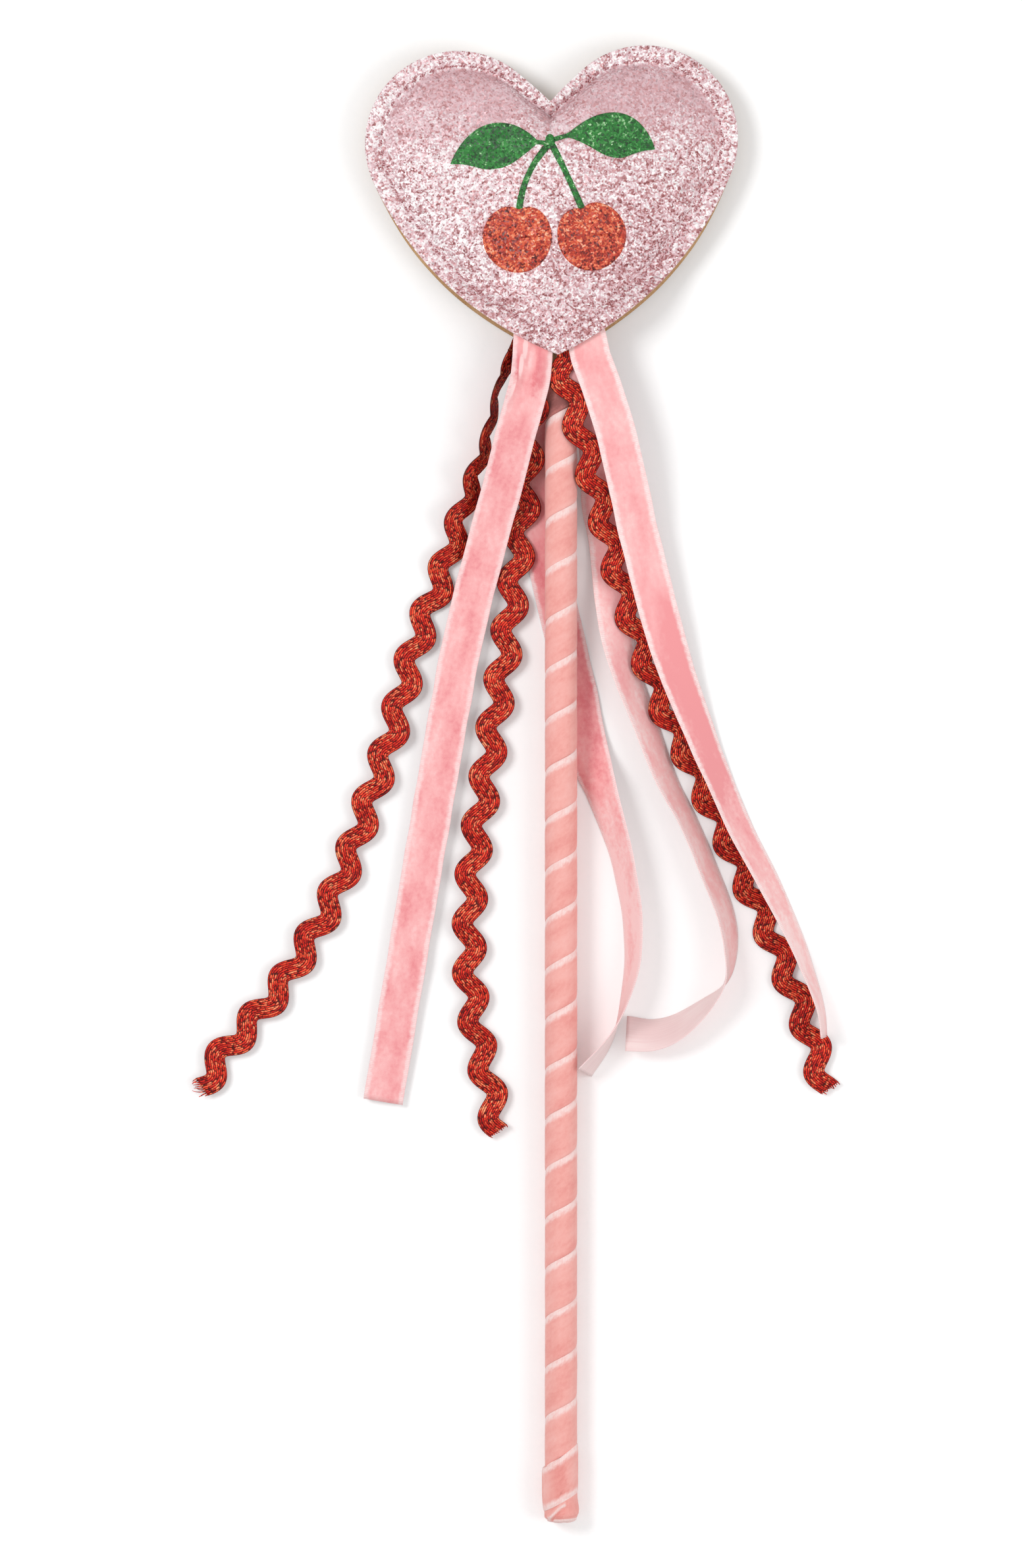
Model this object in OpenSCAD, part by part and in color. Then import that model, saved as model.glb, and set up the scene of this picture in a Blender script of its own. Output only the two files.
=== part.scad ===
// Toy magic wand: a padded heart on a ribbon-wound stick, with velvet and ric-rac tails.
// It lies on its back. +Y runs up the stick to the heart, +Z is the printed side, and the
// origin is the centre of the stick's butt end. Sizes are in millimetres and degrees.

/* [Stick] */
// Diameter of the wooden dowel
dowel_d = 8; // [6:0.5:11]
// Length of dowel inside the heart
dowel_reach = 60; // [45:1:66]
// Thickness of the velvet wound on the dowel
wrap_t = 1; // [0.6:0.1:1.5]
// Rise of the winding in one turn
wrap_pitch = 15.4; // [14.5:0.1:18]
// Bare strip left between two turns, along the stick
wrap_gap = 0.8; // [0.6:0.1:2]
// Turn of the winding's start round the stick
wrap_turn = 174; // [0:1:359]
// Length of the ribbon end folded round the butt
cuff_l = 17; // [10:1:30]
// Thickness of the folded ribbon end over the winding
cuff_t = 0.6; // [0.4:0.1:1.2]

/* [Heart] */
// Distance from the butt to the heart's tip
tip_y = 361; // [280:1:370]
// Sideways place of the tip
tip_x = -1; // [-3:0.5:3]
// Lean of the heart to the left
heart_tilt = 1.7; // [0:0.1:5]
// Distance of a lobe's centre from the middle line
lobe_x = 29; // [26:0.5:33]
// Height of the lobes' centres above the tip
lobe_y = 66.5; // [60:0.5:75]
// Radius of the lobes
lobe_r = 28.7; // [25:0.1:32]
// Radius of the long curve from a lobe to the tip
flank_r = 105; // [95:1:130]
// Radius of the curve from a lobe into the notch
notch_r = 150; // [110:1:200]
// Place on the lobe where the notch curve starts
notch_a = 130; // [125:1:135]
// Height of the padded front above the seam
front_crown = 9; // [7.5:0.5:14]
// Depth of the padded back below the seam
back_crown = 8; // [7:0.5:12]
// Thickness of one fabric panel
panel_t = 1.2; // [0.8:0.1:1.6]
// Distance of the stitching from the cut edge
rim_w = 5; // [4:0.5:8]
// How far the back panel shows past the front at the lower sides
back_peek = 0.9; // [0:0.1:2]
// Height above the tip up to which the mouth is fully open
mouth_open = 10; // [8:1:14]
// Height above the tip at which the mouth has closed
mouth_shut = 28; // [24:1:36]

/* [Stitching] */
// Distance from one stitch to the next
stitch_pitch = 3.2; // [2.6:0.1:5]
// Length of thread that shows in one stitch
stitch_l = 2; // [1.2:0.1:2.2]
// Diameter of the thread
thread_d = 0.6; // [0.4:0.1:0.9]

/* [Print] */
// Thickness of the glitter film
film_t = 0.35; // [0.2:0.05:0.6]
// Radius of a fruit
fruit_r = 10.5; // [8:0.5:11]
// Distance of a fruit's centre from the middle line
fruit_x = 11.4; // [11.2:0.1:14]
// Height of the fruits' centres above the tip
fruit_y = 36.4; // [34:0.5:40]
// Distance from the notch down to the knot where the stalks meet
knot_drop = 12; // [10:1:18]
// Width of a stalk
stalk_w = 2.2; // [1.4:0.1:3]
// Length of a leaf
leaf_l = 28; // [22:1:32]
// Width of a leaf
leaf_w = 13; // [9:1:16]

/* [Tails] */
// Width of the velvet ribbon
velvet_w = 12; // [9:1:15]
// Thickness of the velvet ribbon
velvet_t = 0.7; // [0.5:0.1:0.9]
// Width of the ric-rac's woven band
band_w = 5.7; // [4.5:0.1:7]
// Thickness of the ric-rac
band_t = 0.8; // [0.6:0.1:1]
// Height of the ric-rac's wave from its middle line
wave_h = 2.65; // [2:0.05:3.2]
// Length of one wave
wave_l = 15.3; // [13:0.1:18]
// Length of each tail that is sewn in the mouth
root_l = 9.5; // [6:0.5:11]
// Space between pieces that lie on each other
lay_gap = 0.3; // [0.25:0.05:0.5]

/* [Hidden] */
$fn = 64;

// Stick and the surface it lies on
dowel_r = dowel_d / 2;
stick_r = dowel_r + wrap_t;
cuff_r = stick_r + cuff_t;
cuff_end = 1;
glue_gap = 0.05;
floor_z = -cuff_r;
heart_mid = 55;
seam_z = floor_z + back_crown;
stick_lift = atan(seam_z / (tip_y + heart_mid));
loop_rings = 24;
wrap_from = cuff_end + lay_gap;
wrap_to = tip_y - 9;
wrap_w = wrap_pitch - wrap_gap;
wrap_rings = floor((wrap_to - wrap_from - wrap_w) / wrap_pitch * loop_rings);

// Roots of the tails, stacked over the dowel at the mouth
root_y = tip_y - 1;
root_cut = 0.45;
layer_step = max(velvet_t, band_t) + lay_gap;
rear_z = axis_z(root_y) - dowel_r - lay_gap - velvet_t;

// Heart
outline_n = 64;
flat_cut = 0.5;
channel = 0.4;
crown_power = 3;
crown_round = 0.6;
pad_edge = rim_w + 1.5;
crown_mid = 0.8 * (lobe_x + lobe_r - pad_edge);
mouth_front = stack_z(2) + velvet_t + lay_gap - seam_z;
mouth_back = seam_z - rear_z + lay_gap;
pad_gap = 0.8;
pad_steps = [0.89, 0.66, 0.38];
pad_from = 26;
glue_from = 12;
glue_l = 9;
glue_t = 1.3;
flank_c = flank_centre();
lobe_c = [lobe_x, lobe_y - heart_mid];
notch_c = lobe_c + (lobe_r - notch_r) * [cos(notch_a), sin(notch_a)];
flank_end = turn_of(lobe_c + lobe_r * unit(lobe_c - flank_c));
notch_start = turn_of(lobe_c + lobe_r * [cos(notch_a), sin(notch_a)]);
turns = [for (i = [0:outline_n - 1]) -90 + i * 360 / outline_n];
rim_steps = [0, 1.2, rim_w - 1.5, rim_w, pad_edge];
crown_steps = [0.87, 0.66, 0.38];

// Tails: routes are drawn for these sizes and spread apart when a piece grows
drawn_stick_r = 5;
drawn_velvet_w = 12;
drawn_ricrac_w = 11;
ricrac_w = band_w + 2 * wave_h;
spread = stick_r - drawn_stick_r + (velvet_w - drawn_velvet_w + ricrac_w - drawn_ricrac_w) / 2;
velvet_step = 6;
wave_rings = 8;
wave_lean = 0.55;
first_waves = 3;
fine = 12;

// Each point: place across, distance below the root, share of the root's height, roll
left_velvet = [
    [-10.6, 0, 1, 0], [-11.4, 7, 1, 0], [-14.7, 22, 0.86, 0], [-18, 36, 0.62, 0],
    [-21.4, 50, 0.38, 0], [-25, 66, 0.22, 0], [-31, 93, 0.06, 0], [-39, 140, 0, 0],
    [-46.8, 186, 0, 0], [-54.8, 230, 0, 0]
];
right_velvet = [
    [10.2, 0, 1, 0], [14.5, 10.5, 1, 0], [18.6, 26, 0.96, 0], [24.3, 51, 0.62, -3],
    [30.7, 80, 0.33, -10], [36.9, 100, 0.1, -27], [48, 128, 0.02, -46], [55.7, 146, 0, -51],
    [65.3, 164, 0, -56], [72.2, 179, 0, -66], [78, 193, 0, -77], [80.9, 202, 0, -85]
];
middle_velvet = [
    [6.9, 0, 1, 0], [9.8, 9, 0.94, 0], [11.8, 20, 0.66, 0], [12.1, 32, 0.36, 0],
    [12.7, 45, 0.16, 0], [15, 57, 0.06, 0], [16.4, 73, 0, -12], [18.4, 92, 0, -45],
    [26.2, 113, 0, -58], [33.5, 131, 0, -68], [40.4, 144, 0, -77], [46.9, 160, 0, -67],
    [51.4, 172, 0, -66], [52.9, 182, 0, -70], [51.6, 192, 0, -84], [45.7, 199, 0, -104],
    [36.7, 206, 0, -120], [29, 209, 0, -133], [22.6, 208.8, 0, -143]
];
rear_velvet = [
    [-2.5, 0, 1, 0], [-4, 10, 0.45, 0], [-6, 22, 0.1, 0], [-6.5, 40, 0, 0],
    [-5.4, 57, 0, 0], [-1.6, 74, 0, 0], [4.8, 102, 0, 0], [8.9, 122, 0, 8],
    [12.9, 134, 0, 38], [18.7, 153, 0, 55], [22, 170, 0, 60], [22.5, 182, 0, 65],
    [21.4, 192, 0, 72], [18.6, 203, 0, 86], [14.8, 211.5, 0, 102], [9.2, 219, 0, 114]
];
left_ricrac = [
    [-15, 0, 1, 0], [-16.8, 6, 0.85, -20], [-19.6, 13, 0.45, -48], [-22.4, 23, 0.2, -50],
    [-27, 35, 0.08, -40], [-31.8, 49, 0.02, -24], [-35.7, 64, 0, -9], [-41, 77, 0, 0],
    [-45.9, 91, 0, 0], [-52.3, 115, 0, 0], [-59.6, 137, 0, 0], [-64.8, 152, 0, 0],
    [-70.9, 167, 0, 0], [-78, 180, 0, 0], [-86.5, 193.5, 0, 0], [-96.3, 205.5, 0, 0],
    [-105.4, 216, 0, 0], [-111.2, 225.5, 0, 0]
];
centre_ricrac = [
    [-10.4, 0, 1, 0], [-10.4, 12, 0.9, 0], [-11.3, 24, 0.62, 0], [-11.8, 38, 0.28, 0],
    [-13, 54, 0.13, 0], [-15.3, 75, 0.12, 0], [-18, 95, 0.02, 0], [-20.8, 112, 0, 0],
    [-23.2, 129, 0, 0], [-25.7, 145, 0, 0], [-27.6, 160, 0, 0], [-28.4, 175, 0, 0],
    [-28.2, 192, 0, 0], [-26.2, 208, 0, 0], [-23, 222.5, 0, 0], [-19.6, 239, 0, 0]
];
right_ricrac = [
    [1.4, 0, 1, 0], [2.4, 8, 1, 0], [4.9, 18, 0.98, 0], [8.1, 30, 0.92, 0],
    [11.3, 42, 0.66, 0], [14.8, 54, 0.46, 0], [18.5, 68, 0.4, 0], [22.2, 80, 0.36, 0],
    [25.8, 92, 0.34, 0], [31.6, 109, 0.3, 0], [37.8, 122, 0.23, 0], [44.3, 136, 0.15, 0],
    [50.3, 148.5, 0.15, 0], [56.3, 162, 0.1, 0], [62.4, 175, 0, 0], [68.6, 189.5, 0, 0],
    [74.2, 203, 0, 0], [79.2, 216.5, 0, 0], [82, 226, 0, 0]
];
// Each tail: route, side it spreads to and height of its root. A ric-rac also has the turn of
// its wave at the root, where the wave is at a crest, and the turn it gains over its first waves.
tail_left_velvet = [left_velvet, -1, stack_z(2)];
tail_right_velvet = [right_velvet, 1, stack_z(2)];
tail_middle_velvet = [middle_velvet, 1, stack_z(0)];
tail_rear_velvet = [rear_velvet, 1, rear_z];
tail_left_ricrac = [left_ricrac, -1, stack_z(0), -90, 90];
tail_centre_ricrac = [centre_ricrac, -1, stack_z(1), 90, 7];
tail_right_ricrac = [right_ricrac, 1, stack_z(1), -90, -70];
velvet_tails = [tail_left_velvet, tail_right_velvet, tail_middle_velvet, tail_rear_velvet];
ricrac_tails = [tail_left_ricrac, tail_centre_ricrac, tail_right_ricrac];

// Small helpers
function unit(v) = v / norm(v);
function turn_of(p) = atan2(p.y, p.x);
function flat_list(lists) = [for (l = lists) for (e = l) e];
function fade(x, from, to) = let (t = min(1, max(0, (x - from) / (to - from)))) t * t * (3 - 2 * t);
function axis_z(y) = y * tan(stick_lift);
function stack_z(layer) = axis_z(root_y) + dowel_r + lay_gap + layer * layer_step;

// Closed solid swept through rings of corner points, opposite sides split along the same diagonal
module swept(rings) {
    k = len(rings[0]);
    n = len(rings);
    sides = [
        for (i = [0:n - 2]) for (j = [0:k - 1])
            let (a = i * k + j, b = i * k + (j + 1) % k)
                each j < k / 2 ? [[a, a + k, b + k], [a, b + k, b]] : [[a, a + k, b], [b, a + k, b + k]]
    ];
    start_cap = [for (j = [1:k - 2]) [0, j, j + 1]];
    end_cap = [for (j = [1:k - 2]) [0, j + 1, j] + (n - 1) * k * [1, 1, 1]];
    polyhedron(flat_list(rings), concat(sides, start_cap, end_cap));
}

// Closed solid between a domed top and a bottom, each given as loops from the edge inwards
module domed(top_loops, top_mid, low_loops, low_mid) {
    k = len(top_loops[0]);
    n = len(top_loops);
    low = n * k + 1;
    top_faces = [
        for (i = [0:n - 2]) for (j = [0:k - 1])
            let (a = i * k + j, b = i * k + (j + 1) % k)
                each [[a, a + k, b], [b, a + k, b + k]]
    ];
    top_fan = [for (j = [0:k - 1]) [(n - 1) * k + j, n * k, (n - 1) * k + (j + 1) % k]];
    low_faces = [for (f = concat(top_faces, top_fan)) [f[0], f[2], f[1]] + low * [1, 1, 1]];
    wall = [
        for (j = [0:k - 1])
            let (a = j, b = (j + 1) % k)
                each [[a, b, b + low], [a, b + low, a + low]]
    ];
    points = concat(flat_list(top_loops), [top_mid], flat_list(low_loops), [low_mid]);
    polyhedron(points, concat(top_faces, top_fan, low_faces, wall));
}

// Puts a piece that is drawn along +Z from the origin onto the stick's axis
module on_stick(from) {
    rotate([stick_lift - 90, 0, 0]) translate([0, 0, from]) children();
}

// Heart outline: a lobe arc, a flank arc to the tip and an arc into the notch, mirrored
function flank_centre() =
    let (
        lobe = [lobe_x, lobe_y],
        d = norm(lobe),
        along = (flank_r * flank_r - (flank_r - lobe_r) * (flank_r - lobe_r) + d * d) / (2 * d),
        across = sqrt(flank_r * flank_r - along * along)
    )
    (along * lobe + across * [-lobe.y, lobe.x]) / d - [0, heart_mid];
function arc_at(a) =
    a < flank_end ? [flank_c, flank_r] : a < notch_start ? [lobe_c, lobe_r] : [notch_c, notch_r];
function half_turn(a) = atan2(sin(a), abs(cos(a)));
function arc_reach(arc, dir) =
    let (along = arc[0] * dir, off = arc[0] * arc[0] - along * along)
    along + sqrt(arc[1] * arc[1] - off);
// Distance from the heart's middle to its outline, less an inset measured square to the edge
function edge_at(a, inset) =
    let (
        h = half_turn(a),
        dir = [cos(h), sin(h)],
        arc = arc_at(h),
        reach = arc_reach(arc, dir),
        facing = (reach * dir - arc[0]) * dir / arc[1]
    )
    reach - inset / facing;
function on_heart(a, inset) = edge_at(a, inset) * [cos(a), sin(a)];

// Heights over the heart: the mouth at the tip and the padded crown
function mouth_at(p) = 1 - fade(p.y + heart_mid, mouth_open, mouth_shut);
function swell_at(p) =
    let (
        edge = edge_at(turn_of(p), pad_edge),
        out = min(1, norm(p) / edge),
        s = out * edge / (crown_mid + (edge - crown_mid) * out * out)
    )
    pow(max(0, 1 - pow(s, crown_power)), crown_round);
function front_in(p) = seam_z + norm([mouth_front * mouth_at(p), (front_crown - panel_t) * swell_at(p)]);
function front_out(p) = front_in(p) + panel_t;
function back_in(p) =
    let (full = back_crown + flat_cut - panel_t)
    max(floor_z + panel_t, seam_z - norm([mouth_back * mouth_at(p), full * swell_at(p)]));
function back_out(p) = back_in(p) - panel_t;

// Heart plane to the wand's frame
function placed(p, z) =
    let (x = p.x, y = p.y + heart_mid)
    [tip_x + x * cos(heart_tilt) - y * sin(heart_tilt), tip_y + x * sin(heart_tilt) + y * cos(heart_tilt), z];
function loop(inset, peek) = [
    for (a = turns)
        let (p = on_heart(a, inset))
            p * (1 + peek * (1 - fade(p.y, -25, 0)) / norm(p))
];
function loops(peek) = concat(
    [for (d = rim_steps) loop(d, peek)],
    [for (s = crown_steps) loop(pad_edge, 0) * s]
);
function dip_at(i) = rim_steps[i] == rim_w ? channel : 0;

module heart_front() {
    plan = loops(0);
    top = [for (i = [0:len(plan) - 1]) [for (p = plan[i]) placed(p, front_out(p) - dip_at(i))]];
    low = [for (l = plan) [for (p = l) placed(p, front_in(p))]];
    mid = [0, 0];
    color("#dcb8c2") domed(top, placed(mid, front_out(mid)), low, placed(mid, front_in(mid)));
}

module heart_back() {
    plan = loops(back_peek);
    top = [for (l = plan) [for (p = l) placed(p, back_in(p))]];
    low = [for (i = [0:len(plan) - 1]) [for (p = plan[i]) placed(p, back_out(p) + dip_at(i))]];
    mid = [0, 0];
    color("#c39a6b") domed(top, placed(mid, back_in(mid)), low, placed(mid, back_out(mid)));
}

// Fibre filling, with a bore for the dowel and an end clear of the mouth
module heart_stuffing() {
    plan = [for (s = pad_steps) loop(pad_edge, 0) * s];
    top = [for (l = plan) [for (p = l) placed(p, front_in(p) - pad_gap)]];
    low = [for (l = plan) [for (p = l) placed(p, back_in(p) + pad_gap)]];
    mid = [0, 0];
    big = 2 * (lobe_x + lobe_r);
    color("#f2efe8") difference() {
        domed(top, placed(mid, front_in(mid) - pad_gap), low, placed(mid, back_in(mid) + pad_gap));
        translate([-big / 2, tip_y + pad_from - big, -big / 2]) cube(big);
        on_stick(tip_y) cylinder(r = dowel_r + lay_gap, h = dowel_reach + lay_gap);
    }
}

// Running stitch on the front, inside the cut edge
module edge_stitching() {
    around = [for (a = [-90:1:270]) placed(on_heart(a, rim_w), 0)];
    run = [for (i = 0, s = 0; i < len(around); s = s + norm(around[min(i + 1, 360)] - around[i]), i = i + 1) s];
    turn_at = [for (i = [0:360]) [run[i], i - 90]];
    count = floor(run[360] / stitch_pitch);
    step = run[360] / count;
    color("#f0d8de") for (i = [0:count - 1]) {
        thread(lookup((i + 0.5) * step - stitch_l / 2, turn_at), lookup((i + 0.5) * step + stitch_l / 2, turn_at));
    }
}
function stitch_end(a) =
    let (p = on_heart(a, rim_w))
    placed(p, front_out(p) - channel + thread_d / 2 + lay_gap / 2);
module thread(a, b) {
    from = stitch_end(a);
    run = stitch_end(b) - from;
    translate(from) rotate([0, acos(run.z / norm(run)), turn_of(run)])
        cylinder(d = thread_d, h = norm(run), $fn = 16);
}

module dowel() {
    color("#e0c79a") on_stick(cuff_end) cylinder(r = dowel_r, h = tip_y + dowel_reach - cuff_end);
}

// Hot-melt collar that holds the dowel and the tails in the heart's mouth
module mouth_glue() {
    color("#efe6cf") on_stick(tip_y + glue_from) difference() {
        cylinder(r = dowel_r + glue_t, h = glue_l);
        translate([0, 0, -1]) cylinder(r = dowel_r + glue_gap, h = glue_l + 2);
    }
}

// Ribbon end folded over the butt
module butt_cuff() {
    color("#ef9ea0") on_stick(0) difference() {
        cylinder(r = cuff_r, h = cuff_l);
        translate([0, 0, cuff_end]) cylinder(r = stick_r + glue_gap, h = cuff_l);
    }
}

// Velvet ribbon wound on the dowel as one unbroken strip
function wrap_corner(i, r, along) =
    let (a = wrap_turn + i * 360 / loop_rings)
    [r * cos(a), r * sin(a), wrap_from + i * wrap_pitch / loop_rings + along];
wrap_loops = [
    for (i = [0:wrap_rings]) [
        wrap_corner(i, dowel_r + glue_gap, 0), wrap_corner(i, dowel_r + glue_gap, wrap_w),
        wrap_corner(i, stick_r, wrap_w), wrap_corner(i, stick_r, 0)
    ]
];
function wrap_least_gap() = min([
    for (i = [0:wrap_rings - loop_rings - 2]) for (j = [-3:2])
        norm(wrap_loops[i][2] - wrap_loops[min(wrap_rings, max(0, i + loop_rings + j))][3])
]);
module stick_wrap() {
    echo(wrap_loops = wrap_rings / loop_rings, wrap_least_gap = wrap_least_gap());
    color("#f0a8a2") on_stick(0) swept(wrap_loops);
}

// Printed fruit figure: thin film that follows the crown
function film(p, up) = placed(p, front_out(p) + lay_gap + up * film_t);
module film_disc(edge, mid) {
    shrink = [1, 0.66, 0.33];
    plan = [for (s = shrink) [for (p = edge) mid + s * (p - mid)]];
    top = [for (l = plan) [for (p = l) film(p, 1)]];
    low = [for (l = plan) [for (p = l) film(p, 0)]];
    domed(top, film(mid, 1), low, film(mid, 0));
}
module film_strip(path, w) {
    rings = [
        for (i = [0:len(path) - 1])
            let (
                ahead = unit(path[min(i + 1, len(path) - 1)] - path[max(i - 1, 0)]),
                side = [-ahead.y, ahead.x] * w / 2
            )
            [film(path[i] - side, 0), film(path[i] + side, 0), film(path[i] + side, 1), film(path[i] - side, 1)]
    ];
    swept(rings);
}
// A fruit is a disc with a dimple where its stalk meets it
fruit_points = 28;
dimple = 0.1;
dimple_turn = 24;
function fruit_edge(mid, lean) = [
    for (i = [0:fruit_points - 1])
        let (
            a = i * 360 / fruit_points,
            off = (a - 90 - lean) / dimple_turn,
            r = fruit_r * (1 - dimple * exp(-off * off))
        )
        mid + r * [cos(a), sin(a)]
];
fruit_lean = 12;
knot = [0, edge_at(90, 0) - knot_drop];
module fruit_print() {
    color("#cc4a34") for (side = [-1, 1]) {
        mid = [side * fruit_x, fruit_y - heart_mid];
        film_disc(fruit_edge(mid, side * fruit_lean), mid);
    }
}
// A stalk bows outwards from the knot to the dimple of its fruit
stalk_bow = 3;
stalk_points = 9;
module stalk_print() {
    top_r = fruit_r * (1 - dimple) + 3 * lay_gap;
    color("#2f7d3b") for (side = [-1, 1]) {
        foot = [side * (fruit_x - top_r * sin(fruit_lean)), fruit_y - heart_mid + top_r * cos(fruit_lean)];
        head = knot + [side * (stalk_w / 2 + lay_gap), 0];
        bow = stalk_bow * side * unit([head.y - foot.y, foot.x - head.x] * side);
        path = [
            for (i = [0:stalk_points - 1])
                let (t = i / (stalk_points - 1))
                head + t * (foot - head) + 4 * t * (1 - t) * bow
        ];
        film_strip(path, stalk_w);
    }
}
// A leaf is a lens of two arcs on a middle line that droops to its tip
leaf_points = 9;
leaf_droop = 5;
function leaf_spot(t, across) = [t * leaf_l, 4 * t * (1 - t) * (leaf_droop / 2 + across * leaf_w / 2) - leaf_droop * t];
module leaf_print() {
    stem = knot + [0, stalk_w / 2];
    start = stalk_w + 2 * lay_gap;
    upper = [for (i = [0:leaf_points - 1]) leaf_spot(1 - i / leaf_points, 1)];
    lower = [for (i = [0:leaf_points - 1]) leaf_spot(i / leaf_points, -1)];
    color("#2f7d3b") for (side = [-1, 1]) {
        right = [for (p = concat(upper, lower)) stem + [side * (start + p.x), p.y]];
        edge = side > 0 ? right : [for (i = [len(right) - 1:-1:0]) right[i]];
        film_disc(edge, stem + [side * (start + leaf_l / 2), leaf_spot(0.5, 0).y]);
    }
}

// Tails: a smooth curve through the route's points that leaves the mouth straight down
function curve(route, u) =
    let (
        n = len(route),
        i = min(n - 2, floor(u)),
        t = u - i,
        b = route[i],
        c = route[i + 1],
        a = i > 0 ? route[i - 1] : [c[0], 2 * b[1] - c[1], c[2], c[3]],
        d = i < n - 2 ? route[i + 2] : 2 * c - b
    )
    b + t / 2 * (c - a + t * (2 * a - 5 * b + 4 * c - d + t * (3 * (b - c) + d - a)));
// Centre of a tail that is w wide and t thick, resting on its lowest edge
function tail_spot(tail, q, w, t) = [
    q[0] + tail[1] * spread,
    root_y - q[1],
    floor_z + q[2] * (tail[2] - floor_z) + w / 2 * abs(sin(q[3])) + t / 2 * abs(cos(q[3]))
];
// Table of length along the tail against place in the route
function tail_table(tail, w, t) =
    let (
        n = (len(tail[0]) - 1) * fine,
        spots = [for (i = [0:n]) tail_spot(tail, curve(tail[0], i / fine), w, t)]
    )
    [for (i = 0, s = 0; i <= n; s = s + norm(spots[min(i + 1, n)] - spots[i]), i = i + 1) [s, i / fine]];
function tail_length(table) = table[len(table) - 1][0];
// Directions along, across and out of the tail at a place in its route
function tail_frame(tail, u, w, t) =
    let (
        last = len(tail[0]) - 1,
        reach = 0.05,
        from = tail_spot(tail, curve(tail[0], max(0, u - reach)), w, t),
        to = tail_spot(tail, curve(tail[0], min(last, u + reach)), w, t),
        along = unit(to - from),
        level = unit(cross([0, 0, 1], along)),
        up = cross(along, level),
        roll = curve(tail[0], u)[3]
    )
    [along, level * cos(roll) + up * sin(roll), up * cos(roll) - level * sin(roll)];
function corners(mid, across, out, w, t) = [
    mid - across * w / 2 - out * t / 2, mid + across * w / 2 - out * t / 2,
    mid + across * w / 2 + out * t / 2, mid - across * w / 2 + out * t / 2
];

module velvet_tail(tail) {
    table = tail_table(tail, velvet_w, velvet_t);
    n = ceil(tail_length(table) / velvet_step);
    rings = [
        for (i = [0:n])
            let (
                s = root_cut + (tail_length(table) - root_cut) * i / n,
                u = lookup(s, table),
                f = tail_frame(tail, u, velvet_w, velvet_t)
            )
            corners(tail_spot(tail, curve(tail[0], u), velvet_w, velvet_t), f[1], f[2], velvet_w, velvet_t)
    ];
    echo(velvet_length = tail_length(table));
    color("#f0a0a4") swept(rings);
}

module ricrac_tail(tail) {
    table = tail_table(tail, ricrac_w, band_t);
    n = ceil(tail_length(table) / wave_l * wave_rings);
    rings = [
        for (i = [0:n])
            let (
                s = root_cut + (tail_length(table) - root_cut) * i / n,
                u = lookup(s, table),
                f = tail_frame(tail, u, ricrac_w, band_t),
                phase = 360 * s / wave_l + tail[3] + tail[4] * fade(s, 0, first_waves * wave_l),
                slope = 2 * PI * wave_h / wave_l * cos(phase),
                mid = tail_spot(tail, curve(tail[0], u), ricrac_w, band_t) + f[1] * wave_h * sin(phase)
            )
            corners(mid, unit(f[1] - wave_lean * slope * f[0]), f[2], band_w, band_t)
    ];
    echo(ricrac_length = tail_length(table));
    color("#a82a20") swept(rings);
}

// Sewn-in end of a tail, flat in the mouth
module root(tail, w, t, shift) {
    spot = tail_spot(tail, tail[0][0], 0, t);
    translate([spot.x + shift - w / 2, root_y + root_cut, spot.z - t / 2]) cube([w, root_l, t]);
}
module velvet_roots() {
    color("#f0a0a4") for (tail = velvet_tails) {
        root(tail, velvet_w, velvet_t, 0);
    }
}
module ricrac_roots() {
    color("#a82a20") for (tail = ricrac_tails) {
        root(tail, band_w, band_t, wave_h * sin(tail[3]));
    }
}

module velvet_tail_left() { velvet_tail(tail_left_velvet); }
module velvet_tail_right() { velvet_tail(tail_right_velvet); }
module velvet_tail_middle() { velvet_tail(tail_middle_velvet); }
module velvet_tail_rear() { velvet_tail(tail_rear_velvet); }
module ricrac_tail_left() { ricrac_tail(tail_left_ricrac); }
module ricrac_tail_centre() { ricrac_tail(tail_centre_ricrac); }
module ricrac_tail_right() { ricrac_tail(tail_right_ricrac); }

dowel();
stick_wrap();
butt_cuff();
heart_front();
heart_back();
heart_stuffing();
edge_stitching();
mouth_glue();
leaf_print();
stalk_print();
fruit_print();
velvet_roots();
ricrac_roots();
velvet_tail_left();
velvet_tail_right();
velvet_tail_middle();
velvet_tail_rear();
ricrac_tail_left();
ricrac_tail_centre();
ricrac_tail_right();
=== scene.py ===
import math
import bpy
import numpy as np
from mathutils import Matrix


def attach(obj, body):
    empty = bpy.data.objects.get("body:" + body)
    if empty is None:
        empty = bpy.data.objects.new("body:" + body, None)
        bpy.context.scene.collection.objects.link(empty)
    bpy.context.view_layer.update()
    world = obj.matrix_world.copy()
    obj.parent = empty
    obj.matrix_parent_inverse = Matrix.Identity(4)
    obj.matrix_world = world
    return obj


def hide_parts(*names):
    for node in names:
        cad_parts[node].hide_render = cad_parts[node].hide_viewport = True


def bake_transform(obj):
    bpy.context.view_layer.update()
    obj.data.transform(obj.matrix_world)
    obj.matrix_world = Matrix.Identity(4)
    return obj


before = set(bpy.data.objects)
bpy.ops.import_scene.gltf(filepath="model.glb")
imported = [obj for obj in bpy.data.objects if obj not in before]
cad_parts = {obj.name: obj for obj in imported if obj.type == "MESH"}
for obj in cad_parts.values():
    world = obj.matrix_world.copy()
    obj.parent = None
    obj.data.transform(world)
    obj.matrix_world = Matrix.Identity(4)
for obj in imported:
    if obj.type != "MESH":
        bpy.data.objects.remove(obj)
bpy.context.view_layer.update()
scene = bpy.context.scene
MM = 0.001


# Node helpers: a socket or a plain value may be given for any input


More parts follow.
